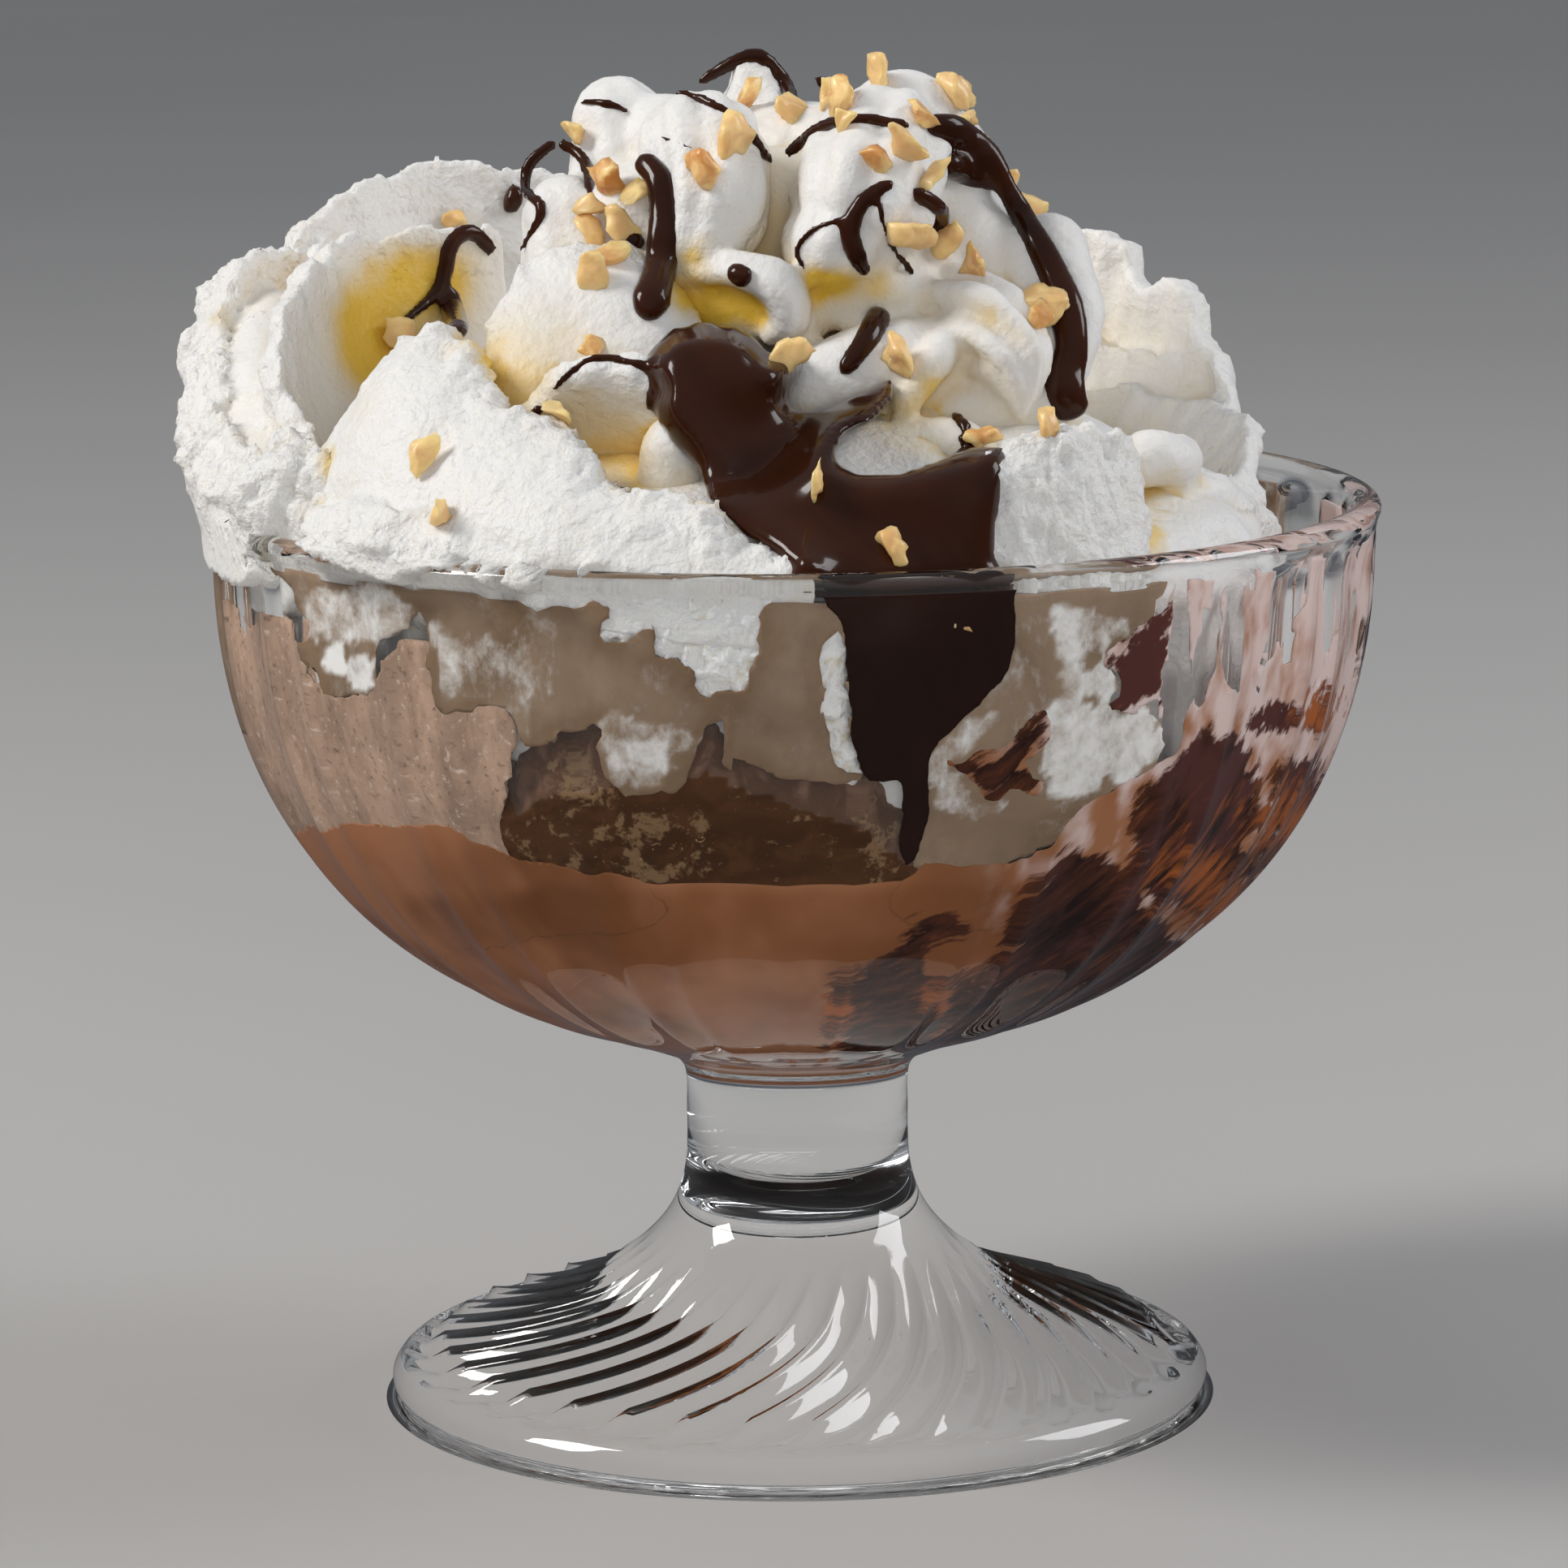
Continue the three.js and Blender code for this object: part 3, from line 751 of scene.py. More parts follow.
def pressed_to_wall(points, reach):
    """Draws in what would stand beyond the glass's inner wall."""
    radius = np.hypot(points[:, 0], points[:, 1])
    limit = inner_radius(points[:, 2]) + reach
    share = np.where(radius > limit, limit / np.maximum(radius, 1e-6), 1.0)
    moved = points.copy()
    moved[:, :2] *= share[:, None]
    return moved


def ball(middle, radius, rows=110, columns=180):
    """A closed ball of rings."""
    turns = np.linspace(0.004, math.pi - 0.004, rows)
    around = np.linspace(0, 2 * math.pi, columns, endpoint=False)
    rings = turned(np.column_stack([radius * np.sin(turns), -radius * np.cos(turns)]), around)
    points, faces = capped_rings(rings)
    return points + np.asarray(middle, dtype=float), faces


def coffee_mesh(level):
    around = np.linspace(0, 2 * math.pi, 600, endpoint=False)
    section = inner_section(np.array([BROW - INNER_DEPTH + 0.002, level]), 0.5)
    section[0] = (0.3, BROW - INNER_DEPTH)
    slope = unit(np.gradient(section, axis=0))
    side = section + np.column_stack([slope[:, 1], -slope[:, 0]]) * COFFEE_REACH
    edge = side[-1, 0]
    top = [[edge * share, level + MENISCUS * (share**24)] for share in np.linspace(0.995, 0.005, 40)]
    rings = turned(np.vstack([side, top]), around)
    flat = rings[len(side):].reshape(-1, 3)
    calm = np.clip((edge - np.hypot(flat[:, 0], flat[:, 1])) / 3, 0, 1)
    flat[:, 2] += 0.35 * calm * layered_noise(flat / 7, 2, seed=3)
    rings[len(side):] = flat.reshape(-1, len(around), 3)
    points, faces = capped_rings(rings)
    return new_mesh("coffee", points, faces)


def coffee_fields(mesh):
    """Says at each vertex how milky the coffee is, where dark syrup lies and where a glow of light through it
    is painted.
    """
    points = mesh_points(mesh) / MM
    x, z = front_place(points)
    streaks = layered_noise(points * (0.16, 0.16, 0.035), 3, seed=21)
    low = 1.0 - smoothstep(z, 36.5, 46.0)
    edge = smoothstep(z, 48.5, 50.5) * 0.35
    right = smoothstep(x, 14, 30)
    left = 1.0 - smoothstep(x, -42, -14)
    milk = 0.6 * low + 0.4 * streaks + 0.1 + edge + 0.4 * right + 0.55 * left
    add_field(mesh, "milk", np.clip(milk, 0, 1))
    wisps = layered_noise(points * (0.45, 0.45, 0.2), 4, seed=25)
    pale = smoothstep(z, 50, 64) * smoothstep(x, 20, 36) + 0.9 * wisps * right
    add_field(mesh, "pale", np.clip(pale, 0, 1))
    deep = np.max([inside_loop(x, z, outline) for outline in SYRUP + GAPS_IN_CREAM], axis=0)
    deep = deep + 0.3 * layered_noise(points / 1.6, 2, seed=67)
    front = smoothstep(-points[:, 1], -6, 0)
    add_field(mesh, "syrup", np.clip(deep, -3, 3) * front - 3 * (1 - front))
    glow = [np.exp(-(((x - at_x) ** 2 + (z - at_z) ** 2) / size**2)) for at_x, at_z, size in GLOWS]
    add_field(mesh, "glow", np.max(glow, axis=0))


def coffee_look(settings):
    if "Milky coffee" in bpy.data.materials:
        return bpy.data.materials["Milky coffee"]
    look, tree, shader = new_look(
        "Milky coffee", settings.coffee, 0.3,
        Specular_IOR_Level=0.05, Subsurface_Weight=0.15, Subsurface_Scale=0.002,
    )
    shader.inputs["Subsurface Radius"].default_value = (1.0, 0.5, 0.3)
    milk = tuple(1.36 * c + more for c, more in zip(settings.coffee, (0.055, 0.047, 0.04)))
    brown = toned(settings.coffee, 0.62)
    node = add_grain(tree, Patch_Scale=46.0, Grain_Scale=420.0, Edge=0.55, Softness=0.2)
    patchy = mix_colours(tree, node.outputs["Mask"], settings.coffee, brown)
    milky = mix_colours(tree, stepped(tree, field_value(tree, "milk"), 0.0, 1.0), patchy, milk)
    base = mix_colours(tree, field_value(tree, "pale"), milky, (0.78, 0.60, 0.56))
    fine = fine_noise(tree, 560.0, stretch=5.0, slope=0.6)
    # painted glow: bright orange where light would shine through the syrup
    lit = stepped(tree, shifted(tree, field_value(tree, "glow"), fine, 3.4), 2.0, 2.9)
    dark = mix_colours(tree, stepped(tree, fine, 0.35, 0.7), (0.016, 0.0045, 0.0025), (0.105, 0.031, 0.013))
    dark = mix_colours(tree, stepped(tree, field_value(tree, "pale"), 0.0, 1.0), dark, (0.092, 0.030, 0.024))
    dark = mix_colours(tree, lit, dark, (0.42, 0.115, 0.022))
    edge = stepped(tree, shifted(tree, field_value(tree, "syrup"), fine, 7.0), 3.1, 3.9)
    link(tree, mix_colours(tree, edge, base, dark), shader.inputs["Base Color"])
    add_relief(tree, shader, node.outputs["Height"], 0.1, 0.1)
    return look


class AFFOGATO_OT_coffee(bpy.types.Operator):
    """Make the coffee that fills the bottom of the glass"""

    bl_idname = "affogato.coffee"
    bl_label = "Coffee"

    def execute(self, context):
        settings = context.scene.affogato_coffee
        mesh = coffee_mesh(settings.level / MM)
        turn_outwards(mesh)
        coffee_fields(mesh)
        add_piece("coffee_body", mesh, coffee_look(settings), ["coffee"])
        return {"FINISHED"}


def scoop_mesh(middle, radius, crumb, reach, seed):
    """A scoop of ice cream, crumbly where it is free and flat where it is pressed against the glass."""
    points, faces = ball(middle, radius)
    outward = unit(points - np.asarray(middle, dtype=float))
    lumps = layered_noise(points / 5.5, 3, seed) + 0.7 * abs(layered_noise(points / 1.9, 3, seed + 1))
    points = points + outward * (crumb * lumps)[:, None]
    points[:, 2] = np.maximum(points[:, 2], COFFEE_TOP - 6)
    mesh = new_mesh("scoop", pressed_to_wall(points, reach), faces)
    turn_outwards(mesh)
    points = mesh_points(mesh) / MM
    limit = inner_radius(points[:, 2]) + reach
    add_field(mesh, "pressed", smoothstep(np.hypot(points[:, 0], points[:, 1]) - limit, -0.25, -0.02))
    x, z = front_place(points)
    crumbly = np.exp(-(((x + 13) / 6) ** 2 + ((z - 53.5) / 4.5) ** 2)) + 0.7 * np.exp(-(((x + 23) / 4) ** 2))
    crumbly = crumbly + 0.8 * np.exp(-(((x - 7.6) / 2.4) ** 4))
    add_field(mesh, "strokes", 0.5 + 0.5 * layered_noise(points * (0.1, 0.1, 0.7), 3, seed + 7))
    add_field(mesh, "crumbs", smoothstep(layered_noise(points / 1.7, 4, seed + 5) + 0.8 * crumbly, 0.3, 1.3))
    return mesh


def ice_look(name, free, pressed, crumb, grain):
    look, tree, shader = new_look(
        name, free, 0.55, Subsurface_Weight=0.12, Subsurface_Scale=0.001, Specular_IOR_Level=0.05
    )
    node = add_grain(tree, **grain)
    loose = mix_colours(tree, node.outputs["Mask"], free, toned(free, 1.9, 0.05))
    damp = mix_colours(tree, node.outputs["Mask"], pressed, free)
    mixed = mix_colours(tree, field_value(tree, "pressed"), loose, damp)
    mixed = mix_colours(tree, stepped(tree, field_value(tree, "strokes"), 0.1, 1.1), mixed, free)
    crumbs = shifted(tree, field_value(tree, "crumbs"), fine_noise(tree, 1500.0), 3.4)
    specked = mix_colours(tree, stepped(tree, crumbs, 2.1, 2.7), mixed, crumb)
    link(tree, specked, shader.inputs["Base Color"])
    add_relief(tree, shader, node.outputs["Height"], 0.5, 0.4)
    return look


class AFFOGATO_OT_ice_cream(bpy.types.Operator):
    """Make the two scoops of ice cream"""

    bl_idname = "affogato.ice_cream"
    bl_label = "Ice cream"

    def execute(self, context):
        settings = context.scene.affogato_coffee
        brown = settings.chocolate_ice
        mesh = scoop_mesh(middle=(-6, -26, 60), radius=24.6, crumb=0.8, reach=0.08, seed=31)
        look = ice_look(
            "Chocolate ice cream", brown, toned(brown, 0.62), (0.235, 0.14, 0.07),
            dict(Patch_Scale=330.0, Grain_Scale=1500.0, Edge=0.56, Softness=0.09),
        )
        add_piece("chocolate_scoop", mesh, look, ["chocolate_ice_cream"])
        mocha = settings.coffee_ice
        mesh = scoop_mesh(middle=(-30, -5, 60), radius=20.5, crumb=0.7, reach=0.09, seed=37)
        look = ice_look(
            "Coffee ice cream", mocha, toned(mocha, 0.8), toned(mocha, 0.6),
            dict(Patch_Scale=240.0, Grain_Scale=1200.0, Edge=0.5, Softness=0.16),
        )
        add_piece("coffee_scoop", mesh, look, ["coffee_ice_cream"])
        return {"FINISHED"}


BUILT = {}  # search trees over what is built, for what is laid on it


# ---- What clings to the glass ------------------------------------------------
CREAM_HANGING = [  # bright cream at the front that just touches the glass: places seen from the front
    (-27.1, 84), (2, 84), (2.3, 78.5), (0.8, 77), (-1.8, 76.2), (-2.2, 73.1), (-3.3, 70), (-4.5, 67.3),
    (-5.6, 67.7), (-7.1, 67.2), (-10.1, 67.5), (-10.6, 70.4), (-13.1, 71.5), (-13.5, 73.1), (-15.4, 72.3),
    (-17.7, 72.1), (-18.2, 73.9), (-17.7, 75.4), (-21, 75.8), (-24.1, 75.8), (-26.7, 76.3),
]
CREAM_STRIP = [  # a bright strip beside the sauce
    (5, 74.3), (5.4, 71.5), (5.8, 66.1), (5.9, 60.3), (4.6, 60.3), (2.7, 61.4), (2.2, 63.8), (2.7, 66.1),
    (2.3, 69.2), (2.3, 71.5), (3.5, 73.5),
]
CREAM_FLAT = [  # cream smeared flat, behind and below it
    (-45, 84), (2, 84), (2.6, 78.1), (4.2, 76.2), (5.4, 71.5), (6.1, 65.3), (6.2, 59.4), (1.6, 59.5),
    (-2.6, 60.3), (-4.8, 61.1), (-5.7, 60.2), (-6.5, 61.4), (-6.6, 64.6), (-7.1, 67.5), (-8.2, 64.2),
    (-9, 61.4), (-11.3, 59), (-13.5, 58.7), (-15.8, 58), (-17.7, 58.7), (-18.4, 60.7), (-18.8, 63.5),
    (-24.4, 63.4), (-25.6, 65.3), (-28.6, 66.7), (-32.7, 67.3), (-33.9, 71.5), (-34.4, 76), (-36, 74.5),
    (-37.8, 71.5), (-38.4, 68.6), (-40.7, 67.7), (-43.7, 68.4), (-44.5, 76),
]
CREAM_RIGHT = [  # cream to the right of the sauce
    (18.9, 84), (35, 84), (34.8, 79.3), (34, 75.8), (31.4, 72.3), (29.1, 70.4), (30.2, 67.7), (29.1, 66.5),
    (33.3, 65.3), (33.9, 63), (33.3, 60.3), (30.2, 58.5), (26.5, 55.6), (23.5, 53.2), (16.7, 51.2),
    (11.4, 50.6), (11.8, 56), (12.1, 59), (12.6, 61.8), (15.2, 64.4), (18, 67.7), (19.6, 71.5),
    (19.8, 76.2),
]
CREAM_TONES = [  # where that cream is thicker and whiter, and how much
    (0.42, [(-18.4, 64), (-18.2, 61.5), (-17.6, 59.5), (-16.9, 58.2), (-15, 58.5), (-12.8, 59.1),
     (-11.3, 60.3), (-10.5, 61.3), (-8.6, 61.8), (-9.3, 64), (-11.5, 65.4), (-14, 65), (-16.5, 65.6)]),
    (0.66, [(-17.4, 63.2), (-14, 63.9), (-11.3, 63.2), (-11.4, 61), (-14, 60), (-17, 60.6)]),
    (0.34, [(-31.6, 73.4), (-28, 72.6), (-24.9, 72.6), (-24.8, 64), (-28.6, 66), (-32.4, 67.3), (-33, 70)]),
    (0.55, [(-33, 74.4), (-31.4, 73.6), (-31, 70), (-31.2, 67), (-32.6, 67.3), (-33, 70)]),
    (0.85, [(-43.2, 72.2), (-41.6, 73), (-41.2, 71), (-42, 69.7), (-43.2, 70.4)]),
    (0.6, [(-41.4, 71.8), (-38.6, 71.6), (-38.2, 69.4), (-40, 68.4), (-41.6, 69.4)]),
    (0.4, [(-44, 78), (-36, 78), (-36, 73), (-44, 73)]),
    (0.6, [(24.3, 66.6), (30, 66.4), (34, 65), (34, 61), (30, 58.8), (27, 57.4), (23.6, 58), (23, 62)]),
    (0.62, [(25, 69.6), (29.6, 69.8), (30.2, 67.8), (29, 66.6), (25, 67.2)]),
    (0.5, [(24.6, 76), (29, 74.6), (31.6, 73.4), (28.4, 71), (24.8, 70.6)]),
    (0.45, [(12.4, 61.6), (15, 64), (19, 66), (18, 63), (14.6, 61.4), (16.4, 58.6), (19, 57), (16, 55.8),
     (13, 57.4)]),
    (0.9, [(-2, 84), (-1, 80), (1, 79), (1, 84)]),
]
GAPS_IN_CREAM = [  # where the dark inside shows through that cream
    [(14, 61.2), (16.6, 61.1), (19.7, 63), (21.2, 64.1), (23.4, 66.1), (23.8, 63.8), (22.7, 62.2),
     (21.6, 61), (22.3, 59.9), (23.1, 58.7), (21.6, 58.3), (19.7, 58.7), (18, 57.6), (17, 59.1),
     (15.2, 59.9)],
    [(35.1, 75), (33.6, 75), (32.5, 73.5), (31, 72.3), (29.5, 71.2), (28.7, 70.1), (30.1, 69.1),
     (30.2, 67.7), (29.1, 66.3), (30.6, 65.3), (31.7, 65.7), (33.6, 66.7), (34.2, 65.3), (34.8, 71.5)],
]
FILMS = [  # coffee and milk that cling above the coffee's surface: at the right, and lower at the left
    [(9, 47), (11.4, 51.2), (16.7, 51.8), (21.3, 52.5), (25, 55.6), (30.2, 59.1), (34, 61.4), (35.7, 65.3),
     (35.3, 71.5), (34.9, 78), (38, 85), (57, 85), (57, 60), (50, 46), (20, 46)],
    [(-54, 58), (-45, 56.4), (-36, 56), (-31.6, 55.2), (-28.6, 53.7), (-24.8, 52.5), (-21, 51.6), (-16, 51),
     (-13, 49.8), (-16, 46), (-54, 46)],
]
SYRUP = [  # dark coffee syrup between the milk and the glass
    [(31.4, 56), (33.6, 59.9), (35.5, 62.2), (37.8, 63.8), (40, 63.8), (41.6, 62.6), (42.7, 59.9),
     (43.1, 56.8), (41.6, 53.7), (40, 50.6), (38.2, 48.6), (35.5, 47.5), (32.9, 48.4), (30.8, 50.4),
     (31.9, 53.3)],
    [(26.8, 52.9), (29.1, 51.8), (30.8, 50), (32.7, 47.9), (34.9, 45.9), (33.6, 44.2), (30.2, 42.2),
     (26.8, 40.7), (23.1, 39.6), (19.7, 37.8), (15.9, 35.7), (12.9, 35.8), (9.9, 36.6), (6.1, 35.5),
     (3.8, 37), (2.5, 39.1), (4.2, 41.7), (6.5, 43), (9.1, 44.4), (11, 46.3), (12.9, 47.3), (15, 46.9),
     (15.3, 45.8), (13.6, 44.9), (12, 43.8), (12.9, 42.1), (16.3, 41.9), (18.6, 43.6), (19.7, 46.3),
     (21.3, 49), (23.8, 51.5), (25.1, 52.5)],
    [(44.9, 61.1), (47.2, 61.8), (47.7, 59.9), (46.1, 56), (43.8, 52.9), (41.9, 50.6), (39.4, 49),
     (40.2, 51.5), (42.2, 54.9), (43.4, 58.7)],
    [(48.3, 68.4), (49.5, 67.2), (49.2, 65.3), (48, 63.8), (47, 64.3), (47.2, 66.5)],
    [(41.9, 64.6), (44.2, 66.4), (46.2, 66.7), (46.2, 64.7), (43.8, 63.4)],
]
GLOWS = [  # where a glow of light through the syrup is painted: x and height seen from the front, and size
    (36.5, 50.4, 4), (44.8, 55.6, 4.4), (48.2, 66, 3), (3.2, 39.4, 1.6), (13, 40, 1.5),
]
CRUMBS = [  # loose crumbs of chocolate ice cream against the glass
    [(-17.4, 54.5), (-16.4, 57.6), (-13.5, 58.9), (-10.5, 57.6), (-8.4, 55), (-9.4, 52), (-13, 50.8),
     (-16.6, 51.4)],
    [(-33.6, 60), (-31.2, 61), (-29.4, 58.6), (-29.2, 55.2), (-31, 54.2), (-33.2, 56.4)],
    [(-25.8, 60.6), (-22.8, 60.8), (-22.7, 58), (-25.4, 57.6)],
    [(-20, 53.6), (-17.5, 54.2), (-16, 52), (-17, 50.6), (-19.6, 51)],
]
SAUCE_RUN = [  # the sauce inside the glass
    (2, 85), (20.8, 85), (20.4, 76.2), (20.1, 71.5), (18.5, 67.7), (15.2, 64.2), (12.9, 62.2), (12.2, 59.9),
    (12.2, 56), (11.3, 52.1), (10, 51.4), (9.6, 53.7), (10.2, 57.5), (9.4, 59.3), (6.5, 59.5), (5.8, 62.2),
    (5.4, 66.9), (5.2, 71.5), (4.6, 74.6), (2.6, 78.1),
]
FOAM = [  # mottled coffee ice cream at the left
    (-43.7, 69), (-38.4, 69.4), (-35.5, 75), (-33, 76), (-31, 69), (-28, 66.8), (-26.2, 64.4), (-25.8, 60),
    (-27.4, 55), (-27, 50.4), (-31.6, 51.1), (-36.1, 52), (-48, 52.5), (-50.5, 61.4), (-52, 67.7),
    (-52, 74), (-47, 78),
]


BACK = (25, 190)  # bearings between which the glass's inside isn't seen from the front


def bearing_of(points):
    return np.degrees(np.arctan2(points[:, 1], points[:, 0]))


def torn(points, outlines, wander, grain, seed, bands=0.0):
    """How far points are inside any of some outlines seen from the front, with the edges torn by noise. bands
    shifts the outlines up or down behind each flute at the left."""
    x, z = front_place(points)
    flute_of = np.round((bearing_of(points) - FLUTE_TURN) / 10.0)
    place = np.column_stack([flute_of * 7.7, flute_of * 3.1, flute_of * 0])
    z = z + bands * noise(place, 5) * smoothstep(-x, 12, 18)
    inside = np.max([inside_loop(x, z, outline) for outline in outlines], axis=0)
    return inside + wander * layered_noise(points / grain, 4, seed)


def behind(points, height, wander, seed):
    """How far points are above a wavy line round the back of the glass, which isn't seen from the front."""
    bearing = bearing_of(points) % 360
    side = np.minimum(bearing - BACK[0], BACK[1] - bearing) / 3
    line = height + wander * layered_noise(points * (0.07, 0.07, 0.02), 3, seed)
    return np.minimum(side, points[:, 2] - line)


def film_look(name, light, dark, roughness, grain, relief=(0.2, 0.2), **sockets):
    """A look for what lies against the glass, which takes most of the shine."""
    return food_look(name, light, dark, roughness, grain, relief, Specular_IOR_Level=0.05, **sockets)


def foam_look(mocha):
    """Mottled foam against the glass, drawn out upwards, with fine specks."""
    look, tree, shader = new_look("Coffee foam", mocha, 0.45, Specular_IOR_Level=0.05)
    upwards = math.pi / 2
    streaks = stepped(tree, fine_noise(tree, 210.0, detail=8.0, stretch=3.0, slope=upwards), 0.36, 0.64)
    drawn = mix_colours(tree, streaks, toned(mocha, 0.72), toned(mocha, 1.2))
    specks = fine_noise(tree, 1100.0)
    dark = mix_colours(tree, stepped(tree, specks, 0.56, 0.7), drawn, toned(mocha, 0.5))
    pale = mix_colours(tree, stepped(tree, specks, 0.43, 0.3), dark, (0.66, 0.52, 0.43))
    link(tree, pale, shader.inputs["Base Color"])
    add_relief(tree, shader, specks, 0.4, 0.3)
    return look


def smeared_cream_look(settings):
    """Cream pressed flat against the glass: white where it is thick, and a warm grey where it is thin."""
    look, tree, shader = new_look(
        "Cream on glass", settings.light, 0.5,
        Specular_IOR_Level=0.05, Subsurface_Weight=0.2, Subsurface_Scale=0.001,
    )
    node = add_grain(tree, Patch_Scale=90.0, Grain_Scale=900.0, Edge=0.54, Softness=0.2)
    fine = fine_noise(tree, 420.0, detail=9.0, stretch=0.75)
    thin = mix_colours(tree, node.outputs["Mask"], (0.345, 0.245, 0.165), (0.19, 0.128, 0.078))
    thin = mix_colours(tree, stepped(tree, fine, 0.35, 0.75), thin, (0.27, 0.19, 0.13))
    thick = stepped(tree, shifted(tree, field_value(tree, "thick"), fine, 1.5), 0.92, 1.8)
    bright = mix_colours(tree, thick, thin, toned(settings.light, 1.12))
    stained = mix_colours(tree, field_value(tree, "stain"), bright, (0.20, 0.125, 0.07))
    link(tree, stained, shader.inputs["Base Color"])
    add_relief(tree, shader, node.outputs["Height"], 0.25, 0.2)
    return look


def hanging_cover(points):
    return torn(points, [CREAM_HANGING, CREAM_STRIP], 1.0, 2.4, 47)


def flat_cover(points):
    front = torn(points, [CREAM_FLAT, CREAM_RIGHT], 0.7, 3.2, 41, bands=1.6)
    return np.maximum(np.minimum(front, 0.5 - hanging_cover(points)), behind(points, 64, 5, 43))


def film_cover(points):
    x, z = front_place(points)
    gaps = torn(points, GAPS_IN_CREAM, 0.5, 2.0, 63)
    streaks = layered_noise(points * (0.4, 0.4, 0.06), 4, seed=59)
    bare = 4.0 * np.clip(streaks + 0.06, 0, 1) * smoothstep(z, 64, 70) * smoothstep(x, 30, 36)
    return np.maximum(np.minimum(torn(points, FILMS, 0.5, 4.0, 61), 1.0) - bare, gaps)


def crumb_cover(points):
    inside = torn(points, CRUMBS, 0.8, 2.0, 87)
    loose = 1.2 * layered_noise(points / 1.7, 2, 88) + 0.35 + 0.2 * np.clip(inside, 0, 1)
    return np.minimum(inside, loose)


def foam_cover(points):
    holes = layered_noise(points / 3.0, 4, seed=71)
    front = torn(points, [FOAM], 0.9, 3.0, 73, bands=1.6) - 3.0 * np.clip(holes - 0.32, 0, 1)
    return np.maximum(front, behind(points, 54, 4, 79))


def run_cover(points):
    return torn(points, [SAUCE_RUN], 0.3, 3.0, 83)


def make_flat_cream(settings):
    """Cream smeared flat: how thick it is and where it is stained are fields on its skin."""
    mesh = wall_layer(flat_cover, (25, 340), (50, 84.5), reach=0.11, depth=1.4, step=0.6)
    points = mesh_points(mesh) / MM
    x, z = front_place(points)
    bands = layered_noise(points * (0.12, 0.12, 0.03), 3, seed=45)
    torn_edge = 0.9 * layered_noise(points / 1.8, 4, seed=46)
    tones = []
    for much, outline in CREAM_TONES:
        tones.append(much * smoothstep(inside_loop(x, z, outline) + torn_edge, -0.3, 0.4))
    tone = np.max(tones, axis=0)
    bearing = bearing_of(points) % 360
    back = smoothstep(bearing, 50, 80) * (1 - smoothstep(bearing, 170, 195))
    add_field(mesh, "thick", np.clip(0.14 + 0.3 * bands + 0.4 * back + tone, 0, 1))
    fade = 1 - smoothstep(flat_cover(points) + 1.2 * layered_noise(points / 2.5, 3, seed=48), 0, 2.6)
    add_field(mesh, "stain", 0.6 * fade * (1 - smoothstep(x, -2, 8)) * (1 - smoothstep(tone, 0.1, 0.4)))
    look = smeared_cream_look(settings)
    add_piece("cream_on_glass", mesh, look, ["whipped_cream"])


def make_hanging_cream(settings):
    """Bright cream that just touches the glass."""
    mesh = wall_layer(
        hanging_cover, (228, 285), (56, 84.5), reach=0.14, depth=2.0, step=0.36,
        stand_off=lambda p: 0.15 + 1.1 * abs(layered_noise(p / 1.7, 4, seed=53)),
    )
    points = mesh_points(mesh) / MM
    # painted shade: warm patches laid by noise, standing in for the shade of its fluffy relief
    add_field(mesh, "painted_fold_shade", 0.45 * smoothstep(layered_noise(points / 1.6, 4, seed=54), -0.1, 0.8))
    add_field(mesh, "torn", np.ones(len(mesh.vertices)))
    # painted light: a copy of the cream look, 1.2 times lighter
    look = cream_look(settings, "Hanging cream", 1.2)
    add_piece("cream_hanging", mesh, look, ["whipped_cream"])


def make_crumbs():
    """Loose crumbs of the chocolate ice cream."""
    mesh = wall_layer(
        crumb_cover, (212, 264), (48.5, 63), reach=0.12, depth=1.1, step=0.26,
        stand_off=lambda p: 1.1 * abs(layered_noise(p / 1.1, 3, seed=89)),
    )
    look = film_look(
        "Ice cream crumbs", (0.34, 0.20, 0.095), (0.085, 0.042, 0.017), 0.5,
        dict(Patch_Scale=620.0, Grain_Scale=1500.0, Edge=0.54, Softness=0.1), relief=(0.8, 0.5),
    )
    add_piece("ice_cream_crumbs", mesh, look)


def make_sauce_run(settings):
    """The sauce that runs down inside the glass."""
    mesh = wall_layer(run_cover, (268, 296), (48, 85), reach=0.15, depth=1.6, step=0.4)
    dark = toned(settings.sauce, 0.5)
    look = film_look(
        "Sauce on glass", dark, toned(dark, 0.5), 0.35,
        dict(Patch_Scale=70.0, Grain_Scale=500.0, Edge=0.5, Softness=0.25), relief=(0.1, 0.1),
    )
    add_piece("sauce_on_glass", mesh, look, ["chocolate_sauce"])
    BUILT["run"] = tree_of([mesh])


class AFFOGATO_OT_on_glass(bpy.types.Operator):
    """Make the cream, milk, foam, syrup and sauce that cling to the inside of the glass"""

    bl_idname = "affogato.on_glass"
    bl_label = "On the glass"

    def execute(self, context):
        scene = context.scene
        coffee = scene.affogato_coffee
        make_flat_cream(scene.affogato_cream)
        make_hanging_cream(scene.affogato_cream)
        mesh = wall_layer(film_cover, (178, 372), (48, 84), reach=0.13, depth=0.35, step=0.42)
        coffee_fields(mesh)
        add_piece("coffee_film", mesh, coffee_look(coffee), ["coffee"])
        make_crumbs()
        mesh = wall_layer(foam_cover, (25, 262), (50, 79), reach=0.10, depth=0.7, step=0.6)
        look = foam_look(coffee.coffee_ice)
        add_piece("coffee_foam", mesh, look, ["coffee_ice_cream"])
        make_sauce_run(scene.affogato_sauce)
        return {"FINISHED"}


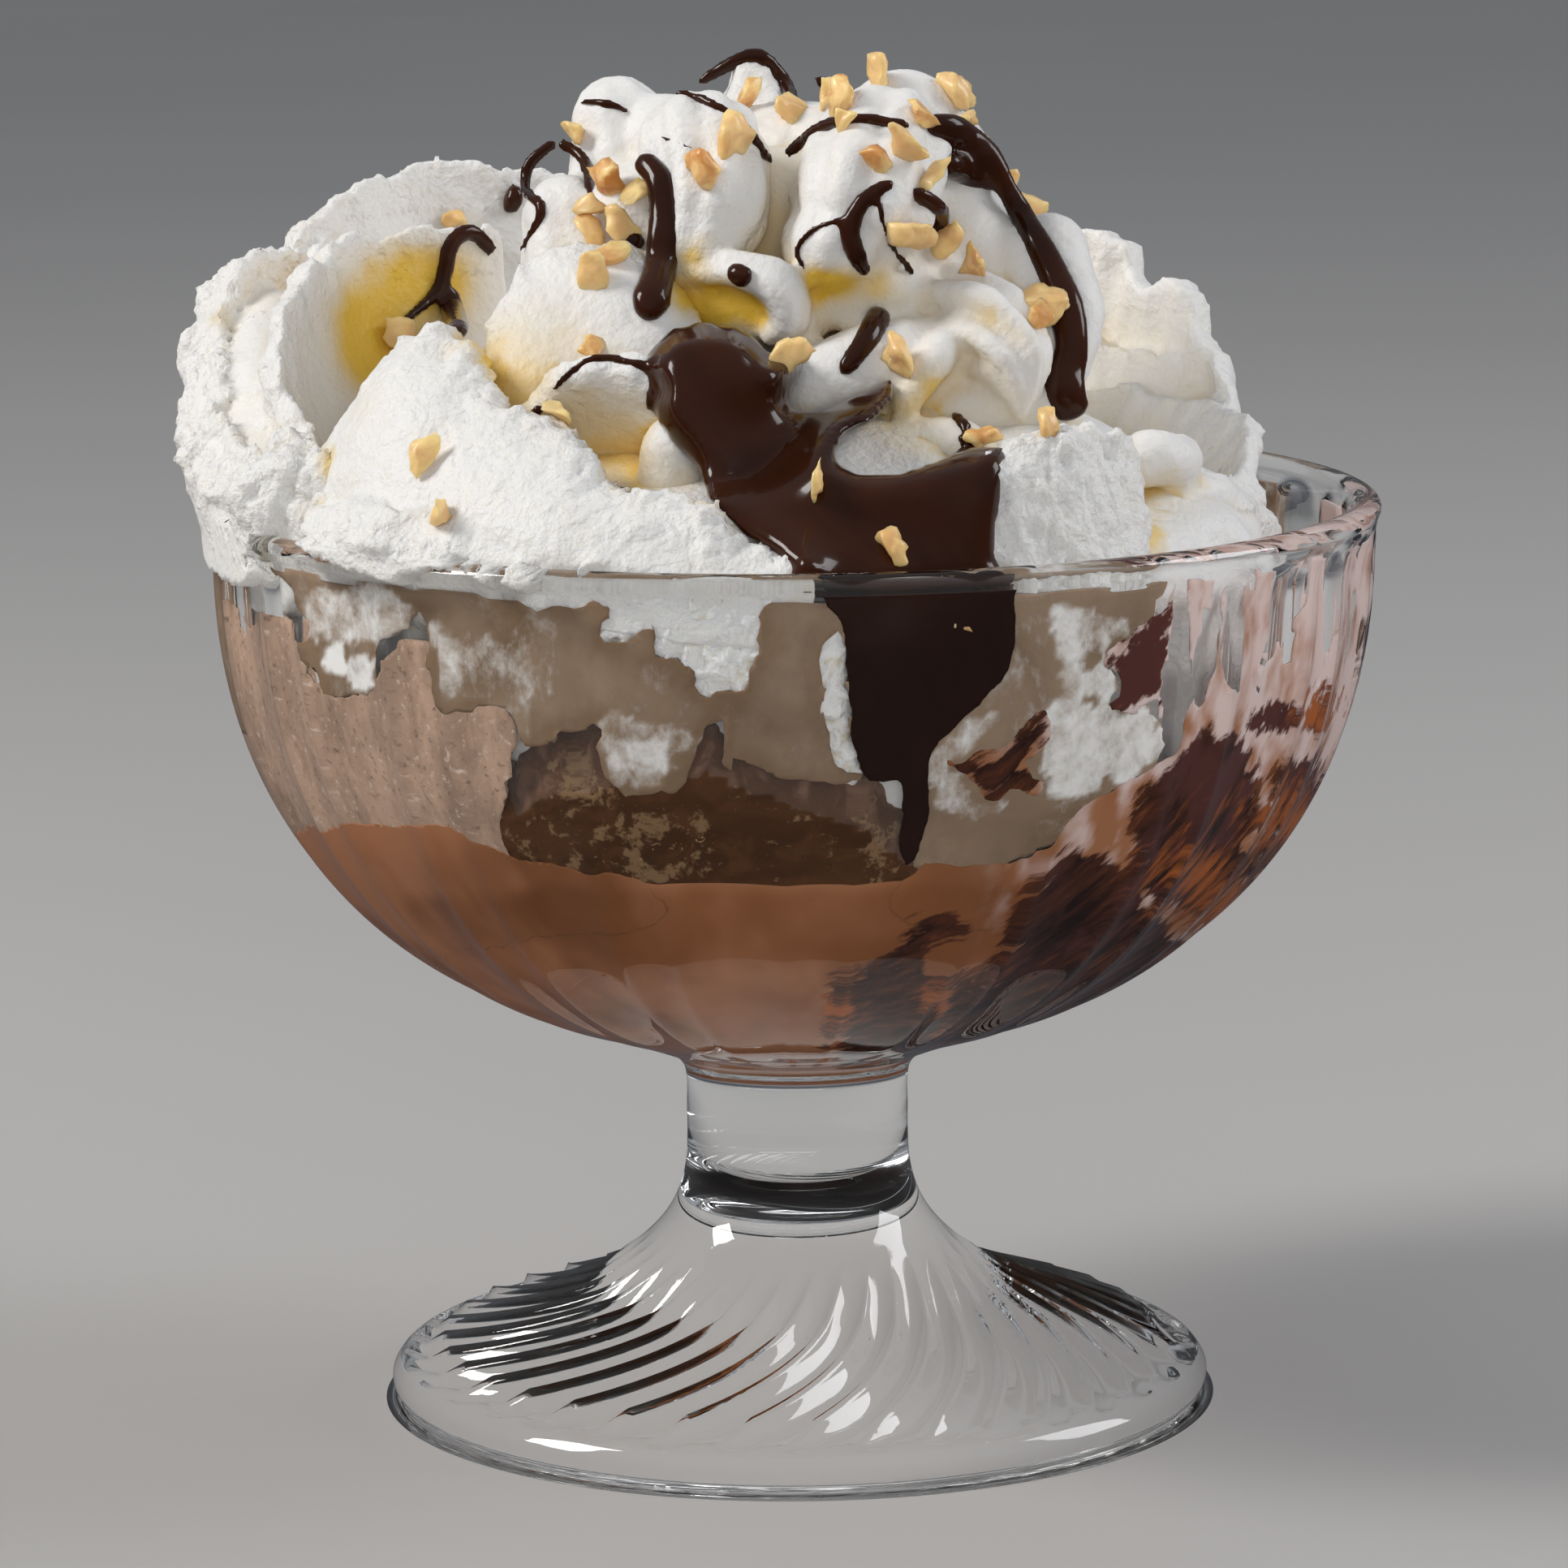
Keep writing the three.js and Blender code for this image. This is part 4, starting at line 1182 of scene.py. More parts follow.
# ---- Whipped cream -----------------------------------------------------------
def petal(crest, foot, belly, thick, ribs=0, rib=0.0, ragged=1.0, grainy=0.35, seed=0, step=0.55):
    """A ribbon of cream, as a closed skin: a thick sheet from a foot line up to a torn crest, both given as
    [bearing, radius, height]. belly bows it away from the axis, and ribs run up it as a star nozzle leaves
    them. Also gives how torn each vertex is."""
    crest_line, foot_line = polar(crest), polar(foot)
    long = np.linalg.norm(np.diff(crest_line, axis=0), axis=1).sum()
    tall = np.linalg.norm(crest_line.mean(axis=0) - foot_line.mean(axis=0))
    columns, rows = int(long / step) + 3, int(tall / step) + 3
    u, v = np.linspace(0, 1, columns), np.linspace(0, 1, rows)[:, None]
    high, low = smooth_line(crest_line, u), smooth_line(foot_line, u)
    rise = unit(high - low)
    out = unit(np.cross(unit(np.gradient(high, axis=0)), rise))
    if (out[:, :2] * (high + low)[:, :2]).sum() < 0:
        out = -out
    along = u * long
    apart = np.full((rows, columns), seed * 7.3)
    flat = np.stack(np.broadcast_arrays(along[None, :], v * tall, apart), axis=2).reshape(-1, 3)

    def waves(across, upwards, octaves=2, shift=0):
        return layered_noise(flat / (across, upwards, 1.0), octaves, seed + shift).reshape(rows, columns)

    scallop = abs(np.sin(math.pi * ribs * u)) if ribs else np.zeros(columns)
    ends = np.minimum(1.0, 4.0 * np.minimum(u, 1 - u) + 0.25) ** 0.5
    lumps = 1.2 * waves(10, 50) + 1.2 * waves(4, 30, 3, 3) + 1.3 * abs(waves(2.1, 9, 3, 4))
    lift = ragged * lumps * v**4 + rib * 0.9 * (scallop - 0.6) * v**2
    bow = 4 * v * (1 - v) * belly + rib * scallop * v**0.7
    bow = bow + 1.1 * waves(11, 16, 2, 5) * v + ragged * 0.8 * waves(3.4, 3.4, 3, 7) * v**6
    half = (thick[0] + (thick[1] - thick[0]) * v**0.5) * 0.5 * ends
    half = half * (1 + 0.3 * ragged * waves(3, 3, 3, 9) * v**4)
    wrinkle = 0.16 * ragged * waves(7, 1.1, 3, 11)
    centre = low[None] + (high - low)[None] * v[:, :, None]
    centre = centre + out[None] * bow[:, :, None] + rise[None] * lift[:, :, None]
    front = centre + out[None] * (half + wrinkle)[:, :, None]
    back = centre - out[None] * (half - wrinkle)[:, :, None]
    points, faces = sheet_skin(front, back)
    rough = np.broadcast_to(ragged * (grainy + (1 - grainy) * v**8), (rows, columns)).ravel()
    return points, faces, np.tile(rough, 2)


def rope(path, radii, ridges=0, crease=0.15, twist=0.0, lumps=0.25, torn_by=0.2, seed=0):
    """Cream piped along a smooth path, round at both ends, as a closed skin. Sharp grooves part its ridges,
    crease deep, and they turn on the way by twist, in turns. Also gives how torn each vertex is."""
    path = np.asarray(path, dtype=float)
    share = np.linspace(0, 1, 26 * (len(path) - 1))
    line = smooth_line(path, share)
    radius = np.interp(share * (len(radii) - 1), np.arange(len(radii)), radii)
    cap = np.radians(np.linspace(88, 5, 14))[:, None]
    before = line[0] - unit(line[1] - line[0]) * radii[0] * np.sin(cap)
    after = line[-1] + unit(line[-1] - line[-2]) * radii[-1] * np.sin(cap[::-1])
    middle = np.vstack([before, line, after])
    radius = np.concatenate([radii[0] * np.cos(cap[:, 0]), radius, radii[-1] * np.cos(cap[::-1, 0])])
    ahead = unit(np.gradient(middle, axis=0))
    side = np.cross(ahead, (0.31, 0.93, 0.2))
    for k in range(1, len(side)):
        side[k] = side[k - 1] - ahead[k] * (side[k - 1] @ ahead[k])
    side = unit(side)
    up = np.cross(ahead, side)
    around = np.linspace(0, 2 * math.pi, 96, endpoint=False)[None, :]
    turn = around + 2 * math.pi * twist * np.linspace(0, 1, len(middle))[:, None]
    fold = 1 - crease * (1 - abs(np.cos(ridges / 2 * turn)) ** 0.8) if ridges else np.ones(turn.shape)
    wide = (radius[:, None] * fold)[:, :, None]
    out = np.cos(around)[:, :, None] * side[:, None] + np.sin(around)[:, :, None] * up[:, None]
    rings = middle[:, None] + wide * out
    uneven = lumps * layered_noise(rings.reshape(-1, 3) / 6 + seed, 2, seed)
    rings += out * uneven.reshape(turn.shape)[:, :, None]
    points, faces = capped_rings(rings)
    return points, faces, np.full(len(points), torn_by)


def dome(level):
    """The cream in the glass and the low dome that the petals stand on. The glass is free at the right."""
    section = inner_section(np.array([level - 1.5, 84.0]), 0.8)
    section[:, 0] -= 1.3
    top = [[50.4, 84.5], [48, 88], [38, 92.5], [24, 97.5], [10, 99], [0.3, 99]]
    top = smooth_line(top, np.linspace(0, 1, 60))
    bottom = smooth_line([[0.3, level - 1.5], [section[0, 0] - 0.5, level - 1.5]], np.linspace(0, 1, 20))
    around = np.linspace(0, 2 * math.pi, 380, endpoint=False)
    rings = turned(np.vstack([bottom, section, top]), around)
    bearing = (np.degrees(around) - 15 + 180) % 360 - 180
    drawn = 1 - 0.2 * np.exp(-((bearing / 36) ** 4))
    rings[:, :, :2] *= drawn[None, :, None]
    points, faces = capped_rings(rings)
    radius = np.hypot(points[:, 0], points[:, 1])
    lumps = 1.4 * layered_noise(points / 9, 3, 91) + 0.8 * layered_noise(points / 3, 2, 93)
    inwards = 1 - np.clip(1.5 + lumps, 0, 4) / np.maximum(radius, 6)
    points[:, :2] *= inwards[:, None]
    return points, faces, np.full(len(points), 0.3)


LEFT_PETALS = [
    dict(crest=[[214, 50, 87.6], [205, 52, 89], [198, 53.5, 90], [188, 54.6, 94.8], [178, 54.2, 101],
        [166, 53.2, 105.6], [152, 50.6, 107.5]], foot=[[214, 44, 82], [190, 43, 82], [152, 40, 84]],
        belly=4, thick=(10, 6), ragged=1.2, grainy=0.16, seed=101),
    dict(crest=[[156, 53, 108], [148, 53.5, 111], [138, 53, 112.5], [130, 51, 113.8], [118, 47, 112],
        [106, 44, 108]], foot=[[155, 38, 86], [130, 36, 86], [106, 34, 86]], belly=3, thick=(9, 5),
        ragged=0.9, grainy=0.14, seed=102),
    dict(crest=[[209, 46, 88.5], [203, 47.5, 92], [193, 48, 99], [182, 46, 106], [168, 41, 109.5],
        [146, 33, 109.5]], foot=[[205, 40, 84], [188, 34, 86], [146, 24, 90]], belly=4, thick=(8, 2.8),
        ragged=0.8, grainy=0.14, seed=103),
    dict(crest=[[217, 51.5, 89], [210, 50.5, 93.5], [203, 50, 94.5], [198, 49, 91]], foot=[[216, 42, 83],
        [208, 41, 84], [199, 41, 84]], belly=1.5, thick=(7, 3.4), ragged=1.1, grainy=0.3, seed=104),
]
LEFT_TUFTS = [
    dict(path=[[-53, 6, 98.4], [-56, 5, 100.4]], radii=[2.6, 1.5], lumps=0.8, torn_by=0.8, seed=106),
    dict(path=[[-45.6, -17, 87.6], [-48, -9, 91.6], [-49, 0, 96.4], [-48.4, 9, 100.6]],
        radii=[3.4, 4.2, 4.6, 4.4], lumps=0.4, seed=108),
    dict(path=[[-46, -23, 89.4], [-45, -25, 91.6]], radii=[3.6, 2.6], lumps=1.6, torn_by=1.0, seed=107),
]
FRONT_PETALS = [
    dict(crest=[[203, 41.5, 92], [207, 40, 98.5], [213, 38.5, 103.2], [219, 38.2, 104], [226, 39, 101.3],
        [232, 41, 98.6], [241, 43, 97.3], [249, 45.5, 94], [256, 47, 91.5], [264, 48.5, 89],
        [273, 50, 86.5]], foot=[[203, 46, 82], [228, 48.5, 82], [250, 48, 81], [273, 47, 80]], belly=4,
        thick=(11, 3.2), ragged=1.0, grainy=0.5, seed=111),
    dict(crest=[[217, 35.5, 97], [215, 32.5, 104.6], [213, 28, 109.4], [222, 23, 110.8], [234, 19, 108]],
        foot=[[232, 35.5, 90.5], [236, 33, 92.5], [241, 29, 96], [252, 24, 100.5]], belly=1.6,
        thick=(8, 2.4), ragged=0.7, grainy=0.3, seed=112),
    dict(crest=[[229, 38, 96.5], [234, 37.5, 99.5], [240, 37, 101.6], [247, 36, 102.2], [255, 36, 99]],
        foot=[[229, 28, 92], [242, 25, 92], [255, 28, 92]], belly=2, thick=(8, 2.4), ragged=0.5, seed=113),
    dict(crest=[[213, 52.6, 87.6], [222, 53, 88], [234, 53, 87.7], [246, 52.5, 87.3], [258, 52, 87]],
        foot=[[213, 44, 82], [235, 45, 81], [258, 46, 81]], belly=1, thick=(9, 4.4), ragged=0.9, seed=114),
]
RIGHT_PETALS = [
    dict(crest=[[112, 43, 108], [98, 42, 110], [84, 41, 110], [70, 41, 106]], foot=[[112, 32, 86],
        [90, 30, 86], [70, 32, 86]], belly=3, thick=(9, 3.6), ribs=4, rib=0.8, ragged=0.6, seed=121),
    dict(crest=[[74, 39, 104], [60, 38, 107.3], [48, 38.5, 107.8], [40, 39.5, 107.8], [35.5, 40.3, 106],
        [33, 40.6, 103.4], [27, 41.2, 103.8], [23, 41.4, 102.6], [19.5, 41.4, 98.6], [14, 42, 96.4],
        [8, 42.5, 90]], foot=[[74, 36, 85], [40, 36, 84], [8, 37, 83]], belly=3, thick=(6, 3.4), ribs=9,
        rib=0.7, ragged=0.5, seed=122),
    dict(crest=[[64, 33, 97.6], [50, 35.5, 98.4], [38, 37.5, 98.6], [28, 39.5, 98], [20, 41, 95.6]],
        foot=[[64, 31, 86], [38, 33, 86], [20, 36, 86]], belly=1, thick=(5, 2.4), ribs=9, rib=0.5,
        ragged=0.6, seed=120),
    dict(crest=[[62, 30, 92], [50, 31.5, 92.8], [38, 33.5, 93], [27, 36.5, 93.2], [17, 40, 93.4],
        [8, 42.6, 92.6], [0, 43, 90], [354, 42.4, 87]], foot=[[62, 27, 84], [27, 30, 83], [354, 36, 81]],
        belly=1.5, thick=(7, 2.6), ribs=15, rib=0.45, ragged=0.5, seed=126),
    dict(crest=[[30, 39, 84.4], [16, 40.6, 86], [2, 41.4, 86.6], [350, 41.6, 86.4], [340, 41.6, 85.4],
        [334, 42.6, 84.4]], foot=[[30, 32, 80], [2, 33, 80], [334, 36, 80]], belly=3, thick=(9, 4), ribs=5,
        rib=0.5, ragged=0.6, seed=123),
    dict(crest=[[343, 40, 87], [336, 38.6, 90.6], [328, 37.6, 92.6], [319, 37, 93.2], [311, 37.6, 91.6]],
        foot=[[343, 37, 79], [326, 35, 80], [311, 36, 80]], belly=2, thick=(9, 5), ragged=0.6, grainy=0.5,
        seed=124),
    dict(crest=[[354, 44.4, 83.6], [343, 44.4, 86.6], [333, 43.4, 87.4], [322, 42.4, 86.8],
        [312, 42.6, 86]], foot=[[354, 40, 78], [333, 38, 78], [312, 39, 78]], belly=2, thick=(8, 5),
        ragged=0.8, grainy=0.55, seed=127),
    dict(crest=[[312, 44.6, 93.4], [306, 45.4, 96.2], [299, 45.6, 96.4], [292, 45.2, 94.6], [288, 46, 92]],
        foot=[[311, 47, 80], [300, 48, 80], [289, 48, 80]], belly=0.6, thick=(7.5, 4.4), ragged=1.1,
        grainy=0.85, seed=125),
]
RIGHT_LOBES = [
    dict(path=[[28.4, -31, 91.4], [31.8, -28.6, 93], [34.6, -25.4, 92.4]], radii=[1.8, 2.6, 2.2], lumps=0.7,
        seed=128),
    dict(path=[[34.6, -25.4, 89], [38.2, -20.6, 88], [40.6, -14, 86]], radii=[2, 2.6, 2], lumps=0.8,
        seed=129),
    dict(path=[[30, -31.6, 86.4], [35, -27, 86]], radii=[2.4, 2.2], lumps=0.8, seed=130),
]
GRAIN_OF = {"cream_body": 1.6, "cream_heap": 0.85}  # pieces on a coarser or a finer grid than the others
HEAP_CORE = dict(path=[[0, 3, 90], [0, 3, 106]], radii=[25, 14], lumps=1.0, seed=131)
HEAP_ROPES = [
    dict(path=[[-12, 4, 110], [0, 6, 113], [11, 4, 113.4]], radii=[9, 9.4, 9.4], lumps=0.8, seed=148),
    dict(path=[[-14, -8, 99], [-18.6, -8, 106], [-20.4, -7, 112.6]], radii=[9, 6.6, 4.4], ridges=5,
        crease=0.14, seed=132),
    dict(path=[[-11, -3, 106], [-14.4, -2, 114], [-15.8, -1, 121]], radii=[8, 6.6, 4.6], ridges=7,
        crease=0.2, seed=133),
    dict(path=[[-14, -8.6, 104], [-13.4, -8.6, 112.6]], radii=[6.8, 5.8], lumps=0.5, torn_by=0.3, seed=149),
    dict(path=[[-15.2, -18, 102.6], [-15.4, -16.4, 109]], radii=[3.8, 2.8], lumps=0.8, torn_by=0.7,
        seed=150),
    dict(path=[[-8.4, -14.4, 111.6], [-7.6, -12.6, 114.6], [-8, -8.6, 118.6]], radii=[4.8, 6.1, 6.3],
        ridges=9, crease=0.17, lumps=0.6, torn_by=0.35, seed=134),
    dict(path=[[-11.2, -4, 112], [-11.6, -3, 119.2]], radii=[6, 4.8], lumps=0.4, seed=151),
    dict(path=[[3, 3, 112], [3.6, 2, 117.4]], radii=[7, 5.2], lumps=0.4, seed=152),
    dict(path=[[-4, 5, 112], [-3, 9, 119.6], [-3.4, 10.5, 124.4]], radii=[7.5, 4.6, 2.6], ridges=5,
        crease=0.22, torn_by=0.6, lumps=0.6, seed=135),
    dict(path=[[4.8, -16, 111.4], [6.4, -14.4, 114], [8.6, -9.4, 118]], radii=[5.6, 7.2, 7], ridges=8,
        crease=0.15, twist=0.12, lumps=0.5, seed=136),
    dict(path=[[11, -2, 107], [11.4, 0, 114], [10.6, 1, 120]], radii=[11, 8.6, 5.8], ridges=6, crease=0.1,
        seed=137),
    dict(path=[[14.5, -5, 93], [14.4, -4.4, 104], [12.6, -3, 112]], radii=[13.4, 11.6, 8.6], ridges=6,
        crease=0.14, twist=0.12, seed=138),
    dict(path=[[2.6, -21.6, 97.6], [7, -20.6, 99.4], [11.6, -18, 100.4]], radii=[4.6, 5, 4.4], lumps=0.3,
        seed=139),
    dict(path=[[14.2, -19.4, 103.6], [13, -23, 101.4], [10.2, -25.4, 97.6]], radii=[1.2, 1.9, 1.4],
        lumps=0.2, seed=140),
    dict(path=[[-12.6, -14.6, 108.4], [-9, -17.4, 108.9], [-5, -19.4, 109.1], [-1.9, -20.4, 108.1],
        [-0.4, -20.8, 106.2], [-0.6, -20.8, 104.4], [-1.8, -20.6, 103.4]],
        radii=[1.3, 1.5, 1.9, 2.3, 2.2, 1.8, 1.1], ridges=3, crease=0.3, twist=0.2, lumps=0.3, seed=141),
    dict(path=[[-11, -14, 105.4], [-5, -15.6, 104.8], [0, -16.4, 104.4]], radii=[3.4, 3.8, 3.4], lumps=0.4,
        seed=155),
    dict(path=[[2, -15.4, 106.8], [6.4, -15.8, 106.6], [10.8, -14.4, 106.4]], radii=[3.2, 3.4, 3.2],
        lumps=0.4, seed=156),
    dict(path=[[6.6, -26.4, 91.4], [14.5, -25.8, 92]], radii=[4.8, 4.4], lumps=0.4, seed=142),
    dict(path=[[14.6, -14.6, 104.6], [18, -18.6, 103.2], [20.2, -21.6, 100.4], [20.6, -23, 96.4]],
        radii=[4.6, 5, 3.7, 0.8], ridges=6, crease=0.46, twist=0.3, lumps=0.3, seed=143),
    dict(path=[[14.8, -18.4, 94.4], [21.4, -17, 96]], radii=[5.4, 4.8], lumps=0.5, seed=154),
    dict(path=[[23, -9, 108], [24.8, -14, 103], [24, -17.6, 97.6]], radii=[5.4, 4.4, 2.2], ridges=4,
        crease=0.34, seed=144),
    dict(path=[[-10.6, -33, 88.4], [-10.3, -34, 94.8]], radii=[3.6, 3.1], lumps=0.2, seed=145),
    dict(path=[[-7, -27, 90], [-7, -27, 94.6]], radii=[8, 6.6], lumps=0.3, seed=146),
    dict(path=[[2, -33, 81.4], [15, -33, 82.6]], radii=[8.6, 8.6], lumps=0.4, seed=147),
]


def spread_values(values, sources, targets, count=3):
    """Values of scattered points carried to other points, by the nearest few."""
    tree = KDTree(len(sources))
    for index, point in enumerate(sources.tolist()):
        tree.insert(point, index)
    tree.balance()
    carried = np.empty(len(targets))
    for index, point in enumerate(targets.tolist()):
        near = tree.find_n(point, count)
        weights = [1.0 / (distance + 0.05) for _, _, distance in near]
        carried[index] = sum(values[i] * w for (_, i, _), w in zip(near, weights)) / sum(weights)
    return carried


LIP_CLEAR = 86.7  # cream above this height is clear of the lip


def clear_of_glass(points):
    """Draws cream in to the inside of the glass, and lifts what lies on the lip or hangs over it."""
    moved = points.copy()
    radius = np.hypot(points[:, 0], points[:, 1])
    height = points[:, 2]
    above_brow = INNER_RADIUS + smoothstep(height, 84.0, 86.8) * 1.6
    limit = np.where(height < BROW, inner_radius(height), above_brow) - 0.15
    inside = (height < LIP_CLEAR) & (radius < RIM - 1.2)
    radius = np.where(inside, np.minimum(radius, limit), radius)
    over = (height < LIP_CLEAR) & ~inside
    radius = np.where(over, np.maximum(radius, RIM + 0.25), radius)
    moved[:, :2] *= (radius / np.maximum(np.hypot(points[:, 0], points[:, 1]), 1e-6))[:, None]
    return moved


def cream_mesh(shells, grain, torn_by):
    """One skin round some closed skins of cream, with torn and grainy relief."""
    points, faces = joined_skins(shells)
    rough = np.concatenate([shell[2] for shell in shells])
    mesh = remeshed(new_mesh("cream", points, faces), grain)
    relaxed(mesh, 2)
    places = mesh_points(mesh) / MM
    rough = spread_values(rough[::3], points[::3], places[::2], 1).repeat(2)[: len(places)]
    normals = mesh_points(mesh, "normal")
    curd = layered_noise(places / 1.2, 3, 151)
    fibres = 0.6 - 1.6 * abs(layered_noise(places * (0.8, 0.8, 0.34), 3, 155))
    rough = np.clip(rough, 0, 1)
    relief = rough * (0.1 + 0.2 * rough) * curd + 0.5 * rough**3 * fibres
    places = places + normals * (torn_by * relief)[:, None]
    places = places + normals * (0.05 * layered_noise(places / 0.9, 2, 153))[:, None]
    places = clear_of_glass(places)
    set_points(mesh, places * MM)
    add_field(mesh, "torn", np.clip(0.2 + rough, 0, 1))
    return mesh


GOLDEN_TURN = 2.399963  # in radians: spreads rays evenly over a half ball


def shells_of(petals, ropes=()):
    return [petal(**given) for given in petals] + [rope(**given) for given in ropes]


def painted_fold_shade(places, normals, tree, reach=26.0, rays=22):
    """How far cream closes in on each point, from 0 in the open to 1 at the bottom of a fold: how much
    painted shade it gets.
    """
    turn = np.arange(rays) * GOLDEN_TURN
    rise = 1 - (np.arange(rays) + 0.5) / rays
    fan = np.column_stack([np.cos(turn) * np.sqrt(1 - rise**2), np.sin(turn) * np.sqrt(1 - rise**2), rise])
    hidden = np.zeros(len(places))
    for index, (place, normal) in enumerate(zip(places.tolist(), normals.tolist())):
        facing = np.array(Vector(normal).to_track_quat("Z", "Y").to_matrix())
        origin = Vector(place) + Vector(normal) * 0.35
        for way in (fan @ facing.T).tolist():
            distance = tree.ray_cast(origin, way, reach)[3]
            if distance is not None:
                hidden[index] += (1.0 - distance / reach) ** 0.5
    return hidden / rays


def seen_from(eye, place):
    """The way from an eye to a place on the upright plane through the glass's axis."""
    return (Vector((place[0], 0.0, place[1])) - eye).normalized()


# where a yellow glow of light deep in the cream is painted on: x and height seen from the front, size, how
# much
HOLLOWS = [
    (-40, 103.2, 4.6, 0.5), (-39.6, 99.4, 4.6, 0.5), (-36.4, 106.6, 4.2, 0.5), (-32, 106.4, 4, 0.5),
    (-30, 100.4, 2.4, 0.6), (-37.6, 102, 9, 0.34), (-39.4, 95.4, 4.4, 0.45), (-39.2, 91.6, 4, 0.4),
    (-10, 104.4, 2.4, 0.6), (-6.8, 104, 2.4, 0.6), (-9, 109, 2, 0.5), (-3, 103.6, 2, 0.5),
    (2.6, 106, 2, 0.6), (5, 106, 2, 0.5), (8.4, 106, 2, 0.4), (18.4, 102.6, 2.6, 0.3), (10.5, 91.6, 5, 0.4),
    (34, 88, 8, 0.12), (27.4, 87, 3, 0.2), (21.4, 102, 2.6, 0.3), (-17.5, 92, 5.5, 0.1),
    (-14.2, 89.6, 4.5, 0.12), (-24, 101, 9, 0.42), (12.5, 97, 2.4, 0.4),
]


class AFFOGATO_OT_cream(bpy.types.Operator):
    """Make the heap of whipped cream and the ring of petals round it"""

    bl_idname = "affogato.cream"
    bl_label = "Whipped cream"

    def execute(self, context):
        settings = context.scene.affogato_cream
        torn_by = settings.torn / (0.9 * MM)
        level = context.scene.affogato_coffee.level / MM
        groups = {
            "cream_body": [dome(level), rope(**HEAP_CORE)],
            "cream_heap": shells_of([], HEAP_ROPES),
            "cream_left": shells_of(LEFT_PETALS, LEFT_TUFTS),
            "cream_front": shells_of(FRONT_PETALS),
            "cream_right": shells_of(RIGHT_PETALS, RIGHT_LOBES),
        }
        meshes = {}
        for name, shells in groups.items():
            meshes[name] = cream_mesh(shells, settings.grain * GRAIN_OF.get(name, 1.0), torn_by)
        tree = tree_of(meshes.values())
        hollows = []
        for x, z, size, much in HOLLOWS:
            found = tree.ray_cast(EYE, seen_from(EYE, (x, z)), FAR)[0]
            if found is not None:
                hollows.append((np.array(found), size, much))
        for name, mesh in meshes.items():
            places = mesh_points(mesh) / MM
            normals = mesh_points(mesh, "normal")
            some = rng.choice(len(places), len(places) // 12, replace=False)
            hidden = painted_fold_shade(places[some], normals[some], tree)
            hidden = spread_values(hidden, places[some], places)
            near = [much * np.exp(-((places - at) ** 2).sum(axis=1) / size**2) for at, size, much in hollows]
            deep = 1 - np.prod(1 - np.array(near), axis=0)
            # painted shade in the folds, and the painted yellow glow round the hollows
            add_field(mesh, "painted_fold_shade", np.clip(0.6 * hidden + deep * np.clip(0.4 + 2 * hidden, 0, 1), 0, 1))
            add_piece(name, mesh, cream_look(settings), ["whipped_cream"])
        BUILT["cream"] = tree
        return {"FINISHED"}


# ---- Chocolate sauce ---------------------------------------------------------
BACK_EYE = Vector((60.0, 600.0, 260.0))  # a second place to look from, for what lies on the far side
# outline of the sauce that lies on the cream, seen from the front: the dome, its tongues and the wide lip
POOL = [
    (-13.5, 99), (-12.9, 100.2), (-11.3, 101.7), (-9, 102.3), (-6, 102.2), (-3.7, 101.3), (-2.6, 100.2),
    (-1.8, 99.7), (-0.3, 100), (1, 99.3), (1.2, 97.9), (0.4, 96.4), (-0.1, 95.3), (0.8, 94.3), (3.1, 94.5),
    (6.1, 95.6), (8.7, 96.8), (9.7, 96.6), (9.7, 95.3), (8, 93.4), (5.3, 92.2), (4.2, 90.7), (4.2, 89.2),
    (6.1, 88.2), (9.9, 88.2), (12.9, 89), (15.9, 90.2), (19.7, 90.7), (19.9, 88.4), (19.3, 83.9),
    (19.1, 80.1), (19.1, 77), (0.8, 77), (-0.3, 79.5), (-2.2, 80.9), (-5.2, 83.1), (-7.5, 85.4),
    (-8.2, 86.9), (-8.8, 88.6), (-10.1, 90.3), (-11.9, 92.2), (-12.9, 94.5), (-12.6, 96), (-13.3, 97.5),
]
BULGES = [  # where that sauce stands thicker: x and height seen from the front, size, and how much
    (-7, 96.4, 8.5, 4.0), (-0.6, 97.6, 2.6, 1.4), (8, 84, 12, 1.0),
]
